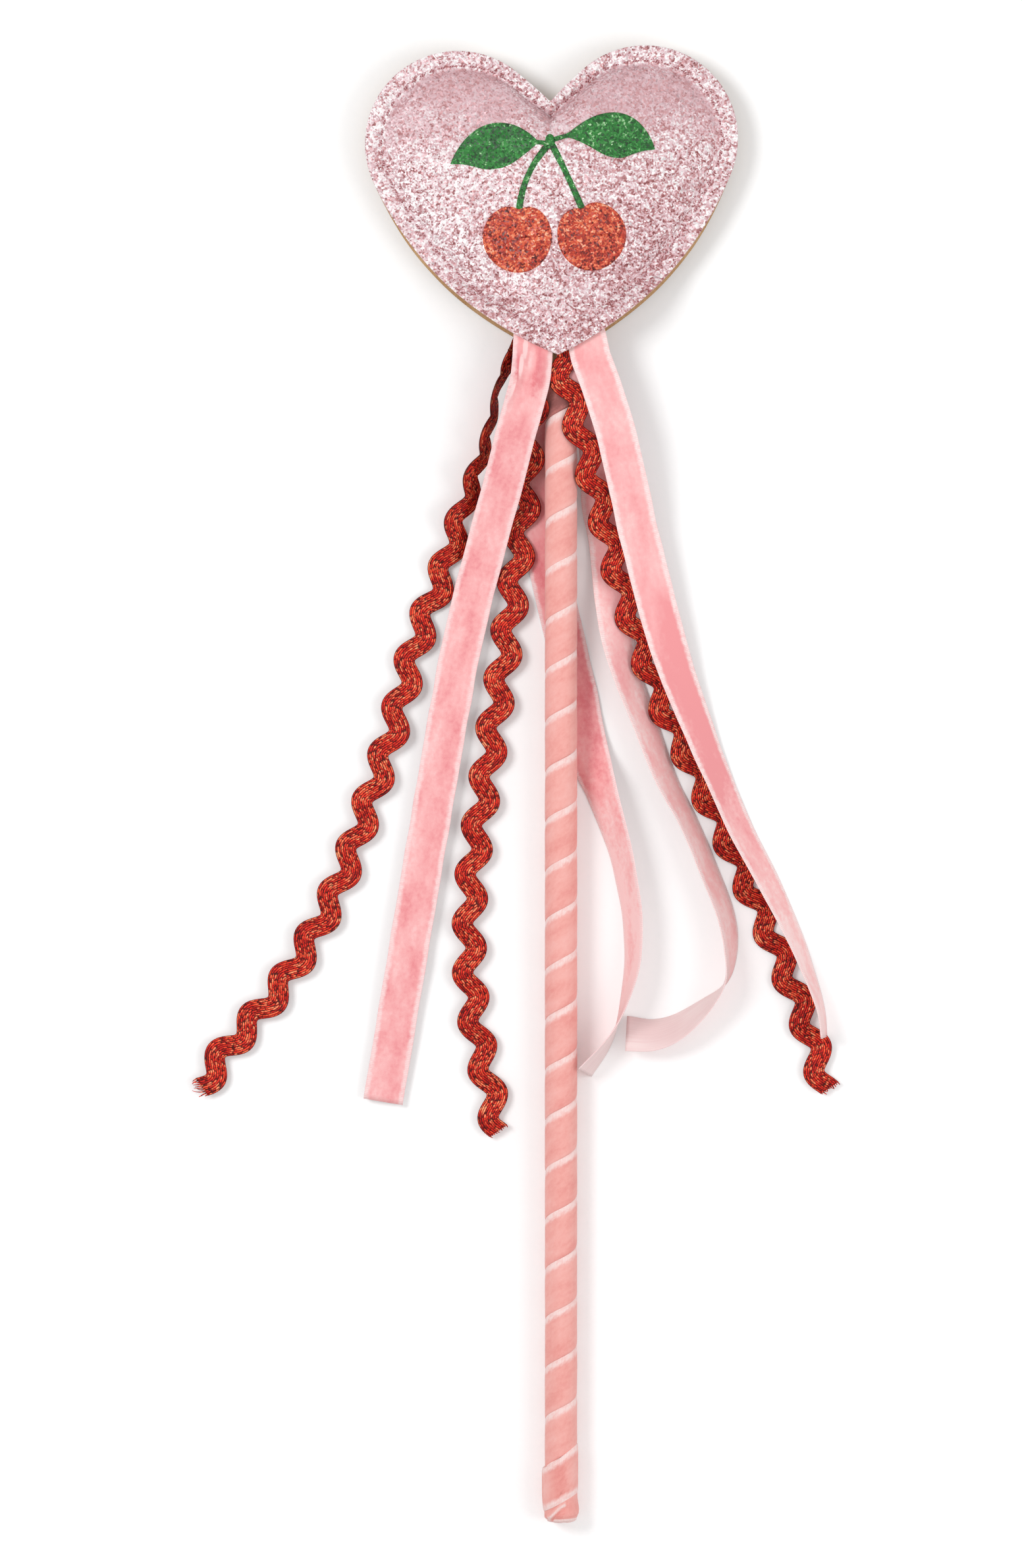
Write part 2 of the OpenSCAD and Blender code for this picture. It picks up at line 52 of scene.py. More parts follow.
def linear(code):
    """Linear colour of a hex sRGB code."""
    rgb = [int(code[i:i + 2], 16) / 255 for i in (1, 3, 5)]
    return tuple(c / 12.92 if c <= 0.04045 else ((c + 0.055) / 1.055) ** 2.4 for c in rgb) + (1.0,)


class Paint:
    """The nodes of a new material or world, and short calls that add to them."""

    def __init__(self, name, kind="materials", shader="Principled BSDF"):
        self.owner = getattr(bpy.data, kind).new(name)
        self.owner.use_nodes = True
        self.tree = self.owner.node_tree
        self.shader = self.tree.nodes[shader]

    def feed(self, socket, value):
        if isinstance(value, bpy.types.NodeSocket):
            self.tree.links.new(value, socket)
        else:
            socket.default_value = value

    def node(self, kind, **settings):
        made = self.tree.nodes.new("ShaderNode" + kind)
        for key, value in settings.items():
            setattr(made, key, value)
        return made

    def fill(self, made, *values):
        for socket, value in zip(made.inputs, values):
            self.feed(socket, value)
        return made.outputs[0]

    def wire(self, made, **inputs):
        for name, value in inputs.items():
            self.feed(made.inputs[name.replace("_", " ")], value)
        return made

    def math(self, how, a, b=0.0):
        return self.fill(self.node("Math", operation=how), a, b)

    def add(self, a, b):
        return self.math("ADD", a, b)

    def sub(self, a, b):
        return self.math("SUBTRACT", a, b)

    def mul(self, a, b):
        return self.math("MULTIPLY", a, b)

    def most(self, a, b):
        return self.math("MAXIMUM", a, b)

    def weigh(self, a, by_a, b, by_b):
        """Sum of two values, each times its weight."""
        return self.add(self.mul(a, by_a), self.mul(b, by_b))

    def swing(self, a, width):
        """A value from 0 to 1, moved to lie about 0 with this width."""
        return self.mul(self.sub(a, 0.5), width)

    def vector(self, how, a, b=(0, 0, 0)):
        made = self.node("VectorMath", operation=how)
        self.feed(made.inputs[0], a)
        self.feed(made.inputs["Scale" if how == "SCALE" else 1], b)
        return made.outputs[0]

    def place(self):
        return self.node("TexCoord").outputs["Object"]

    def uv(self):
        return self.axes(self.node("UVMap", uv_map="UVMap").outputs[0])[:2]

    def axes(self, vector):
        split = self.node("SeparateXYZ")
        self.fill(split, vector)
        return split.outputs

    def join(self, x, y, z=0.0):
        return self.fill(self.node("CombineXYZ"), x, y, z)

    def stretch(self, x, y, by_x, by_y, z=0.0):
        return self.join(self.mul(x, by_x), self.mul(y, by_y), z)

    def noise(self, vector, scale, detail=2.0, rough=0.5):
        made = self.wire(self.node("TexNoise"), Vector=vector, Scale=scale, Detail=detail, Roughness=rough)
        return made.outputs[0]

    def cells(self, vector, scale, randomness=1.0, flat=False):
        made = self.node("TexVoronoi", voronoi_dimensions="2D" if flat else "3D")
        return self.wire(made, Vector=vector, Scale=scale, Randomness=randomness)

    def span(self, value, low, high, to_low=0.0, to_high=1.0, smooth=True):
        made = self.node("MapRange", interpolation_type="SMOOTHSTEP" if smooth else "LINEAR")
        return self.fill(made, value, low, high, to_low, to_high)

    def ramp(self, value, stops):
        made = self.node("ValToRGB")
        bar = made.color_ramp.elements
        while len(bar) < len(stops):
            bar.new(0.5)
        for element, (at, code) in zip(bar, stops):
            element.position = at
            element.color = linear(code)
        return self.fill(made, value)

    def mix(self, share, a, b):
        made = self.node("Mix", data_type="RGBA")
        for i, value in ((0, share), (6, a), (7, b)):
            self.feed(made.inputs[i], value)
        return made.outputs[2]

    def bump(self, height, strength, distance):
        return self.wire(self.node("Bump"), Strength=strength, Distance=distance, Height=height).outputs[0]

    def finish(self, **inputs):
        self.wire(self.shader, **inputs)
        return self.owner


# Materials

# Flakes and clumps of glitter per metre
FLAKES, CLUMPS = 1900.0, 900.0
# Ribbons, in mm: half the tails' width, half the wound ribbon's width along the stick, step of the weave
TAIL_HALF, WRAP_HALF, WEAVE_STEP = 6.0, 7.6, 0.55
# How far the noise pulls the outline of a mark on the pile, at most, along and across
MARK_PULL = 14.0, 2.0


def glitter(name, stops, glint, tilt, painted_dull_shade=None):
    """Loose glitter on cloth: flakes with a random shade and a random lean; the palest shades are painted
    sparkle.
    When a shade is given last, painted shade makes the cloth darker away from the light, and inside the upper
    seam the flakes are pulled towards that shade, also painted shade: the UV holds the inset and the height."""
    p = Paint(name)
    here = p.place()
    fine = p.cells(here, FLAKES).outputs["Color"]
    clump = p.cells(here, CLUMPS).outputs["Color"]
    parts = p.axes(fine)
    shade = p.weigh(parts[0], 0.62, p.axes(clump)[0], 0.38)
    shade = p.add(shade, p.swing(p.noise(here, 75.0), 0.34))
    if painted_dull_shade is not None:
        # Painted shade: lighter towards the upper left, where the light is, darker towards the lower right
        x, y, _ = p.axes(here)
        low = p.sub(p.mul(p.add(x, 0.03), 0.6), p.mul(p.sub(y, 0.41), 0.8))
        shade = p.add(shade, p.span(low, -0.01, 0.06, 0.05, -0.05))
        # Painted shade: inside the upper seam the flakes are pulled to one darker, even shade
        inset, height = p.uv()
        painted_dull_zone = p.mul(p.span(inset, 5.2, 6.6), p.span(height, 3.0, 19.0, 0.0, 0.7))
        painted_dull_zone = p.mul(painted_dull_zone, p.span(p.noise(here, 60.0), 0.3, 0.6, 0.55, 1.0))
        shade = p.add(p.mul(p.sub(painted_dull_shade, shade), painted_dull_zone), shade)
    colour = p.ramp(shade, stops)
    lean = p.vector("SCALE", p.vector("SUBTRACT", fine, (0.5, 0.5, 0.5)), tilt)
    facing = p.vector("NORMALIZE", p.vector("ADD", p.node("NewGeometry").outputs["Normal"], lean))
    rough = p.span(parts[1], 0.2, 0.9, 0.5, glint, smooth=False)
    return p.finish(Base_Color=colour, Metallic=0.12, Roughness=rough, Normal=facing)


def velvet(name, stops, edge, half, edge_w, both=True, marks=(), blur=0.5, sheen=0.5, painted_edge_shade=None):
    """Short pile with crushed patches, and woven edges past half minus edge_w, on both sides or one.
    Marks, of pile and of painted shade and light: place along and across, reach along and across, change of
    shade.
    Past the first place in the last argument the woven edge dims, up to the second: painted shade."""
    p = Paint(name)
    along, across = p.uv()
    nap = p.noise(p.stretch(along, across, 0.07, 0.16, 3.0), 1.0, 3.0, 0.55)
    small = p.noise(p.join(along, across, 1.0), 0.75, 3.0, 0.6)
    pile = p.noise(p.join(along, across, 7.0), 5.5, 2.0, 0.6)
    shade = p.add(p.weigh(nap, 0.72, small, 0.28), p.swing(pile, 0.16))
    for at, over, reach, spread, change in marks:
        slide = p.add(along, p.swing(small, min(reach, MARK_PULL[0])))
        shift = p.add(across, p.swing(nap, min(spread, MARK_PULL[1])))
        far = p.math("POWER", p.math("DIVIDE", p.sub(slide, at), reach), 2.0)
        off = p.math("POWER", p.math("DIVIDE", p.sub(shift, over), spread), 2.0)
        shade = p.add(shade, p.span(p.add(far, off), 0.0, 1.0, change, 0.0))
    colour = p.ramp(shade, stops)
    outward = p.math("ABSOLUTE", across) if both else across
    outward = p.add(outward, p.swing(small, 1.2 * blur))
    rim = p.span(outward, half - edge_w - blur, half - edge_w + blur)
    rim = p.mul(rim, p.span(small, 0.35, 0.6, 0.68, 1.0))
    if painted_edge_shade is not None:
        rim = p.mul(rim, p.span(along, *painted_edge_shade, 1.0, 0.35))
    weave = p.math("SINE", p.mul(along, 2 * math.pi / WEAVE_STEP))
    woven = p.mix(p.span(weave, -1.0, 1.0, 0.0, 0.35), linear(edge), linear("#e9b9bc"))
    colour = p.mix(rim, colour, woven)
    height = p.add(pile, p.mul(rim, p.mul(weave, 0.25)))
    return p.finish(
        Base_Color=colour, Roughness=0.86, Sheen_Weight=sheen, Sheen_Roughness=0.4,
        Sheen_Tint=linear("#ffe3e0"), Specular_IOR_Level=0.25, Normal=p.bump(height, 0.35, 0.00012),
    )


def satin(name, stops):
    """Smooth woven underside of the ribbon, with fine lines along it."""
    p = Paint(name)
    along, across = p.uv()
    lines = p.noise(p.stretch(along, across, 0.05, 3.0), 1.0, 3.0)
    soft = p.noise(p.stretch(along, across, 0.06, 0.1, 4.0), 1.0)
    colour = p.ramp(p.weigh(lines, 0.45, soft, 0.55), stops)
    return p.finish(
        Base_Color=colour, Roughness=0.5, Sheen_Weight=0.6, Sheen_Tint=linear("#fff1ee"),
        Normal=p.bump(lines, 0.2, 0.0001),
    )


def braid(name, strands):
    """Metallic braid: strands that run with the wave, broken into short dashes whose bright end is painted
    glint, with dark grooves.
    """
    p = Paint(name)
    along, strand = p.uv()
    row = p.math("FLOOR", strand)
    in_row = p.math("ABSOLUTE", p.sub(p.sub(strand, row), 0.5))
    dash = p.cells(p.join(p.weigh(along, 1.05, row, 0.37), strand), 1.0, 0.85, True)
    painted_glint_dashes = p.axes(dash.outputs["Color"])[0]
    broad = p.noise(p.stretch(along, strand, 0.3, 0.25), 1.0)
    # The two brightest stops are painted glint; the same dashes also give the strands their relief
    colour = p.ramp(p.weigh(painted_glint_dashes, 0.62, broad, 0.46), [
        (0.15, "#560707"), (0.31, "#aa140e"), (0.5, "#da281a"), (0.68, "#f04d2e"), (0.9, "#ff986c"),
    ])
    groove = p.mul(p.span(in_row, 0.2, 0.48), 0.9)
    gap = p.mul(p.span(dash.outputs["Distance"], 0.4, 0.64), 0.9)
    off_mid = p.math("ABSOLUTE", p.sub(strand, strands / 2))
    side = p.mul(p.span(off_mid, strands / 2 - 0.8, strands / 2), 0.7)
    colour = p.mix(p.most(p.most(groove, gap), side), colour, linear("#2f0404"))
    fibre = p.noise(p.stretch(along, strand, 3.0, 2.0), 1.0)
    return p.finish(
        Base_Color=colour, Metallic=0.3, Roughness=0.42, Specular_IOR_Level=0.2,
        Normal=p.bump(p.add(fibre, painted_glint_dashes), 0.5, 0.0002),
    )


def felt(name, stops, scale=420.0):
    """Matted fibres."""
    p = Paint(name)
    here = p.place()
    fibre = p.noise(here, scale * 3, 4.0, 0.7)
    cloud = p.noise(here, scale * 0.25, 3.0)
    colour = p.ramp(p.weigh(fibre, 0.55, cloud, 0.45), stops)
    return p.finish(Base_Color=colour, Roughness=0.92, Sheen_Weight=0.15, Normal=p.bump(fibre, 0.5, 0.0003))


def sewing_thread(name):
    """Twisted sewing thread."""
    p = Paint(name)
    along, around = p.uv()
    twist = p.math("SINE", p.weigh(along, 9.0, around, 6.28))
    colour = p.ramp(p.span(twist, -1.0, 1.0), [(0.0, "#8a4a4f"), (0.6, "#b3757b"), (1.0, "#cf9da2")])
    return p.finish(Base_Color=colour, Roughness=0.55, Sheen_Weight=0.2, Normal=p.bump(twist, 0.4, 0.0001))


def turned_wood(name):
    """Plain birch dowel."""
    p = Paint(name)
    x, y, z = p.axes(p.place())
    grain = p.noise(p.join(p.mul(x, 900.0), p.mul(y, 14.0), p.mul(z, 900.0)), 1.0, 4.0)
    colour = p.ramp(grain, [(0.3, "#c9a877"), (0.55, "#dcc096"), (0.75, "#e9d4b0")])
    return p.finish(Base_Color=colour, Roughness=0.6, Normal=p.bump(grain, 0.2, 0.0002))


def cloudy(name, stops, rough):
    """Cast glue: cloudy with soft dents."""
    p = Paint(name)
    cloud = p.noise(p.place(), 260.0, 3.0)
    return p.finish(Base_Color=p.ramp(cloud, stops), Roughness=rough, Normal=p.bump(cloud, 0.3, 0.0004))


# Each flake takes a random shade; the palest stop of each glitter is painted sparkle
PINK_GLITTER = glitter("pink_glitter", [
    (0.1, "#8f4f50"), (0.27, "#bb8385"), (0.45, "#d6b0b6"), (0.6, "#e6ced2"), (0.79, "#fef9f9"),
], 0.22, 0.9, 0.36)
GREEN_GLITTER = glitter("green_glitter", [
    (0.1, "#072e0d"), (0.34, "#12551c"), (0.6, "#1f7329"), (0.84, "#409145"), (0.99, "#b9dcae"),
], 0.36, 0.7)
RED_GLITTER = glitter("red_glitter", [
    (0.1, "#4a100c"), (0.3, "#94251a"), (0.52, "#c43d28"), (0.75, "#e8754a"), (0.95, "#f5bd9d"),
], 0.3, 0.8)
VELVET_SHADES = [(0.3, "#e5858b"), (0.45, "#f1a3a5"), (0.58, "#f6b7b7"), (0.75, "#fbd2d1")]
# Left tail at the mouth: painted shade left of the fold's ridge, painted highlight in three marks along it;
# the rest vary the pile
LEFT_PILE_AND_PAINTED_FOLD_MARKS = [
    (40, 2.4, 10, 3.4, -0.15), (42, -5.2, 11, 1.9, -0.28), (34, -2.2, 4.5, 0.9, 0.42),
    (39.5, -3.2, 5, 0.9, 0.42), (46, -4.5, 6, 0.9, 0.42), (38, 0.1, 5, 1.5, 0.16), (62, 2.0, 12, 3.0, -0.1),
]
# Lighter shades, as painted light, for tails turned on edge away from the light
PAINTED_LIGHT_SHADES = [(0.3, "#f09a9d"), (0.48, "#f7b1b2"), (0.6, "#fac0bf"), (0.76, "#fddbd9")]
# Marks that lighten the tails' low parts, turned on edge away from the light, are painted light; the others
# darken the pile
TAIL_CLOTHS = {
    label: velvet(label + "_tail_velvet", shades, edge, TAIL_HALF, edge_w, True, marks, blur, sheen)
    for label, shades, edge, edge_w, marks, blur, sheen in (
        ("left", VELVET_SHADES, "#f9d9d8", 1.35, LEFT_PILE_AND_PAINTED_FOLD_MARKS, 0.6, 0.5),
        ("right", PAINTED_LIGHT_SHADES, "#fde6e4", 1.5, [(186, 0, 44, 40, -0.25), (290, 0, 62, 40, 0.2)], 0.6, 0.8),
        ("middle", PAINTED_LIGHT_SHADES, "#fde6e4", 1.4, [(320, 0, 150, 60, 0.16)], 0.6, 1.0),
        ("rear", VELVET_SHADES, "#fbe0df", 1.1, [(250, 0, 60, 40, -0.1), (350, 0, 90, 60, 0.24)], 0.5, 0.6),
    )
}
# Shades of the wound ribbon; the darkest stop serves mostly the painted shade under the heart's mouth
WRAP_SHADES = [(0.08, "#8f5653"), (0.3, "#e6948d"), (0.5, "#efa9a1"), (0.72, "#f4bab3")]
# Painted shade on the last turns under the heart's mouth: the mark darkens them and their woven edge dims
WRAP_VELVET = velvet(
    "wrap_velvet", WRAP_SHADES, "#f8ded9", WRAP_HALF, 2.2, False,
    marks=[(765, 0, 46, 90, -0.5)], blur=1.0, painted_edge_shade=(712, 735),
)
# Folded end: the first three marks are painted sheen, lighter and darker bands round the sleeve; the last is
# painted shade by the tuck
CUFF_PAINTED_SHEEN_AND_SHADE = [
    (20.5, 0, 2.6, 12, 0.14), (25.5, 0, 2.4, 12, -0.1), (30, 0, 2.6, 12, 0.06), (124.6, 2.4, 3.4, 2.2, -0.15),
]
CUFF_VELVET = velvet("cuff_velvet", WRAP_SHADES, "#f8ded9", WRAP_HALF, 2.0, marks=CUFF_PAINTED_SHEEN_AND_SHADE, blur=1.0)
SATIN = satin("ribbon_satin", [(0.3, "#e4c2c2"), (0.5, "#ebcecd"), (0.72, "#f2dedc")])
STRANDS = 10
BRAID = braid("red_braid", STRANDS)
TAN_FELT = felt("tan_felt", [(0.3, "#a87c4c"), (0.5, "#c0966a"), (0.7, "#d2ae82")])
CUT_EDGE = felt("cut_edge", [(0.3, "#d9b9b4"), (0.5, "#e6ccc8"), (0.7, "#efdcd8")], 900.0)
FIBRE = felt("fibre_fill", [(0.3, "#e2ded4"), (0.6, "#f3f0e9")], 200.0)
THREAD = sewing_thread("pink_thread")
WOOD = turned_wood("birch")
GLUE = cloudy("hot_melt", [(0.3, "#dcaea9"), (0.7, "#eed0cb")], 0.45)


# Mesh helpers


def piece(name, points, faces, materials, uv=None, face_materials=None):
    """A smooth mesh object from points in millimetres."""
    mesh = bpy.data.meshes.new(name)
    mesh.from_pydata((np.asarray(points, float) * MM).tolist(), [], faces)
    for m in materials:
        mesh.materials.append(m)
    mesh.polygons.foreach_set("use_smooth", [True] * len(mesh.polygons))
    if face_materials is not None:
        mesh.polygons.foreach_set("material_index", face_materials)
    if uv is not None:
        layer = mesh.uv_layers.new(name="UVMap")
        index = np.empty(len(mesh.loops), int)
        mesh.loops.foreach_get("vertex_index", index)
        layer.data.foreach_set("uv", np.asarray(uv, float)[index].ravel())
    mesh.update()
    made = bpy.data.objects.new(name, mesh)
    scene.collection.objects.link(made)
    return made


def tube_faces(n, k, closed=True, start=0):
    """Quads of n rings of k points."""
    faces = []
    for i in range(n - 1):
        for j in range(k if closed else k - 1):
            a, b = start + i * k + j, start + i * k + (j + 1) % k
            faces.append((a, b, b + k, a + k))
    return faces


def capped_tube(n, k, start=0, flip=False):
    """Quads of n rings of k points and a cap at each end."""
    first, last = (tuple(range(at, at + k)) for at in (start, start + (n - 1) * k))
    faces = tube_faces(n, k, True, start) + [first[::-1], last]
    return [f[::-1] for f in faces] if flip else faces


def dome_faces(n, k, start=0):
    """Quads of n rings of k points, closed by triangles to the point after the last ring."""
    end = start + n * k
    return tube_faces(n, k, True, start) + [(end - k + j, end - k + (j + 1) % k, end) for j in range(k)]


def on_wand(made, node):
    """The piece rides on the wand in place of a CAD node."""
    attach(made, "wand")
    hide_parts(node)


def pair(x, y):
    return np.stack(np.broadcast_arrays(x, y), -1)


def grid_uv(down, over):
    return pair(down[:, None], over).reshape(-1, 2)


def rings_round(spine, thick, turn, side, up):
    """Points round a line: a ring at each place, in the plane of side and up."""
    ring = np.cos(turn)[:, None] * side[..., None, :] + np.sin(turn)[:, None] * up[..., None, :]
    return (spine[:, None] + thick[:, None, None] * ring).reshape(-1, 3)


def run_along(points):
    """Distance of each point from the first, along the line."""
    return np.concatenate([[0], np.cumsum(np.linalg.norm(np.diff(points, axis=0), axis=1))])


def angle_of(p):
    return np.arctan2(p[..., 1], p[..., 0])


def way_at(a):
    return pair(np.cos(a), np.sin(a))


def fade(x, low, high):
    t = np.clip((np.asarray(x, float) - low) / (high - low), 0, 1)
    return t * t * (3 - 2 * t)


def hill(x, width):
    return np.exp(-(x / width) ** 2)


def unit(v):
    return v / np.linalg.norm(v, axis=-1, keepdims=True)


def ripple(x, y, wave, seed):
    """Smooth noise from -1 to 1 with about this wavelength."""
    rng = np.random.RandomState(seed)
    total = 0.0
    for _ in range(7):
        a, size, turn = rng.uniform(0, 2 * np.pi), wave * rng.uniform(0.75, 1.5), rng.uniform(0, 2 * np.pi)
        total = total + np.sin(2 * np.pi * (x * np.cos(a) + y * np.sin(a)) / size + turn)
    return total / 4.5


# Sizes in millimetres, as in the part's source

FLOOR_Z = -5.6
LOWEST = FLOOR_Z + 0.02
SEAM_Z = 2.4
TIP = np.array([-1.0, 361.0])
TILT = math.radians(1.7)
MID = 55.0
LOBE_C = np.array([29.0, 66.5 - MID])
LOBE_R, FLANK_R, NOTCH_R = 28.7, 105.0, 150.0
NOTCH_A = math.radians(130)
RIM_W, PAD_EDGE, PANEL_T = 5.0, 6.5, 1.2
FRONT_CROWN, BACK_CROWN, FLAT_CUT = 9.0, 8.0, 0.5
MOUTH_OPEN, MOUTH_SHUT, MOUTH_FRONT, MOUTH_BACK = 10.0, 28.0, 7.177, 5.623
LIFT = math.atan(SEAM_Z / (TIP[1] + MID))
ROOT_Y = 360.0
STACK = [6.377, 7.477, 8.577]
REAR_Z = -2.923


# Camera above the picture's middle, key light from the upper left, weaker fill from the right, white floor

PX, PHOTO_ROWS = 1 / 4.9, 2380
VIEW = (-15.5 * MM, 228.6 * MM)
LENS, SENSOR = 160.0, 36.0
KEY = {"place": (-0.8, 0.6, 1.06), "target": (-0.01, 0.24, 0), "size": 0.6, "watts": 8.2}
FILL = {"place": (0.75, 0.1, 0.6), "target": (0.04, 0.2, 0), "size": 0.8, "watts": 3.2}
# Strength of the white surroundings as a light, and half of the floor's side
AIR_LEVEL, FLOOR_HALF = 0.59, 3000.0

camera = bpy.data.objects.new("camera", bpy.data.cameras.new("camera"))
camera.data.lens = LENS
camera.data.sensor_width = SENSOR
camera.location = (VIEW[0], VIEW[1], PHOTO_ROWS * PX * MM * LENS / SENSOR)
scene.collection.objects.link(camera)
scene.camera = camera


def area_light(name, place, target, size, watts):
    lamp = bpy.data.lights.new(name, "AREA")
    lamp.shape = "DISK"
    lamp.size = size
    lamp.energy = watts
    made = bpy.data.objects.new(name, lamp)
    made.location = place
    aim = np.array(target) - np.array(place)
    flat = math.hypot(aim[0], aim[1])
    made.rotation_euler = (math.atan2(flat, -aim[2]), 0, math.atan2(aim[1], aim[0]) - math.pi / 2)
    scene.collection.objects.link(made)


area_light("key", **KEY)
area_light("fill", **FILL)

air = Paint("studio", "worlds", "Background")
scene.world = air.owner
ray = air.node("LightPath").outputs
seen = air.most(air.most(ray["Is Camera Ray"], ray["Is Glossy Ray"]), ray["Is Transmission Ray"])
air.finish(Color=(1, 1, 1, 1), Strength=air.span(seen, 0.0, 1.0, AIR_LEVEL, 1.0, smooth=False))

corners = [(x * FLOOR_HALF, y * FLOOR_HALF, FLOOR_Z) for x, y in ((-1, -1), (1, -1), (1, 1), (-1, 1))]
floor = piece("floor", corners, [(0, 1, 2, 3)], [])
ground = Paint("white_floor")
ray = ground.node("LightPath").outputs
shown = ground.most(ray["Is Camera Ray"], ray["Is Glossy Ray"])
paper = ground.ramp(ground.noise(ground.place(), 900.0), [(0.3, "#fcfcfc"), (0.7, "#ffffff")])
away = ground.node("VectorMath", operation="DISTANCE")
ground.fill(away, ground.place(), (*KEY["place"][:2], 0))
# The floor glows more away from the key light, which evens out its white
glow = ground.span(away.outputs["Value"], 0.73, 1.18, 0.05, 0.13)
floor.data.materials.append(ground.finish(
    Base_Color=ground.mix(shown, linear("#e4e4e4"), paper), Roughness=1.0, Specular_IOR_Level=0.0,
    Emission_Color=(1, 1, 1, 1), Emission_Strength=ground.mul(shown, glow),
))
scene.view_settings.view_transform = "Standard"


# Heart outline and heights


def flank_centre():
    lobe = LOBE_C + (0, MID)
    d = np.linalg.norm(lobe)
    along = (FLANK_R ** 2 - (FLANK_R - LOBE_R) ** 2 + d * d) / (2 * d)
    across = math.sqrt(FLANK_R ** 2 - along ** 2)
    return (along * lobe + across * np.array([-lobe[1], lobe[0]])) / d - (0, MID)


FLANK_C = flank_centre()
NOTCH_WAY = np.array([math.cos(NOTCH_A), math.sin(NOTCH_A)])
NOTCH_C = LOBE_C + (LOBE_R - NOTCH_R) * NOTCH_WAY
FLANK_END = math.atan2(*(LOBE_C + LOBE_R * unit(LOBE_C - FLANK_C))[::-1])
NOTCH_START = math.atan2(*(LOBE_C + LOBE_R * NOTCH_WAY)[::-1])
CROWN_MID = 0.8 * (LOBE_C[0] + LOBE_R - PAD_EDGE)
# Share of its width that the rim loses at the notch, and how far round that reaches, in radians
NOTCH_LOSS, NOTCH_REACH = 0.42, 0.4


def outline(a):
    """Distance to the heart's edge along angle a, and how squarely that ray meets the edge."""
    h = np.arctan2(np.sin(a), np.abs(np.cos(a)))
    way = way_at(h)
    low, high = h < FLANK_END, h >= NOTCH_START
    centre = np.where(low[..., None], FLANK_C, np.where(high[..., None], NOTCH_C, LOBE_C))
    radius = np.where(low, FLANK_R, np.where(high, NOTCH_R, LOBE_R))
    along = (centre * way).sum(-1)
    reach = along + np.sqrt(radius ** 2 - (centre ** 2).sum(-1) + along ** 2)
    square = ((reach[..., None] * way - centre) * way).sum(-1) / radius
    return reach, square


def edge_at(a, inset):
    reach, square = outline(a)
    return reach - inset / square


def rim_at(a):
    """Width of the rim outside the seam, less at the notch."""
    return RIM_W * (1 - NOTCH_LOSS * hill(a % (2 * np.pi) - np.pi / 2, NOTCH_REACH))


def pad_at(a):
    """How far inside the heart's edge its pad starts."""
    return PAD_EDGE * rim_at(a) / RIM_W


def mouth_at(p):
    return 1 - fade(p[..., 1] + MID, MOUTH_OPEN, MOUTH_SHUT)


def swell_at(p):
    a = angle_of(p)
    edge = edge_at(a, pad_at(a))
    out = np.minimum(1, np.linalg.norm(p, axis=-1) / edge)
    s = out * edge / (CROWN_MID + (edge - CROWN_MID) * out ** 2)
    return np.maximum(0, 1 - s ** 3) ** 0.6


def vault(p, mouth, crown):
    """Distance from the seam's plane, with these heights at the mouth and the crown."""
    return np.hypot(mouth * mouth_at(p), crown * swell_at(p))


def placed(p, z):
    x, y = p[..., 0], p[..., 1] + MID
    return np.stack([
        TIP[0] + x * math.cos(TILT) - y * math.sin(TILT), TIP[1] + x * math.sin(TILT) + y * math.cos(TILT), z,
    ], -1)


# Stitches stand at even steps along a line inside the edge
STITCH_STEP, STITCH_R = 3.2, 0.3
LOOK = np.linspace(-np.pi / 2, 1.5 * np.pi, 2881)
RUN = run_along(edge_at(LOOK, rim_at(LOOK))[:, None] * way_at(LOOK))
STITCHES = int(RUN[-1] / STITCH_STEP)


def stitch_turn(a):
    """Which stitch lies at angle a, counted round the heart."""
    a = (a + np.pi / 2) % (2 * np.pi) - np.pi / 2
    return np.interp(a, LOOK, RUN) / RUN[-1] * STITCHES


def line_dent(p, a, b, depth, width):
    """A soft valley along a line."""
    a, b = np.array(a), np.array(b)
    t = np.clip(((p - a) @ (b - a)) / ((b - a) @ (b - a)), 0, 1)
    off = np.linalg.norm(p - (a + t[..., None] * (b - a)), axis=-1)
    return -depth * hill(off, width)


def heart_loops(insets, scales, count):
    """Rings of points over the heart, from the edge inwards, spread evenly along the edge."""
    a = np.interp(np.arange(count) / count * RUN[-1], RUN, LOOK)
    way = way_at(a)
    rings = [edge_at(a, d * rim_at(a) / RIM_W)[:, None] * way for d in insets]
    return rings + [edge_at(a, pad_at(a))[:, None] * way * s for s in scales]


# Cloth simulation: rings as shares of the way to the pad's edge, frames, largest rise and share of it used
SIM_SHARES = np.array([1, 0.96, 0.91, 0.86, 0.8, 0.73, 0.65, 0.56, 0.46, 0.35, 0.23, 0.1])
SIM_STEPS = 20
SIM_CAP, SIM_SHARE = 1.6, 0.5
SIM_CLOTH = {
    "quality": 6, "mass": 0.02, "tension_stiffness": 25, "compression_stiffness": 25, "shear_stiffness": 12,
    "bending_stiffness": 0.05, "vertex_group_mass": "seam", "use_pressure": True, "uniform_pressure_force": 4,
    "shrink_min": -0.03,
}
CENTRE = np.zeros((1, 2))


def crown_z(p):
    """Plain crown of the front cloth, before seams and folds."""
    return SEAM_Z + vault(p, MOUTH_FRONT, FRONT_CROWN - PANEL_T) + PANEL_T


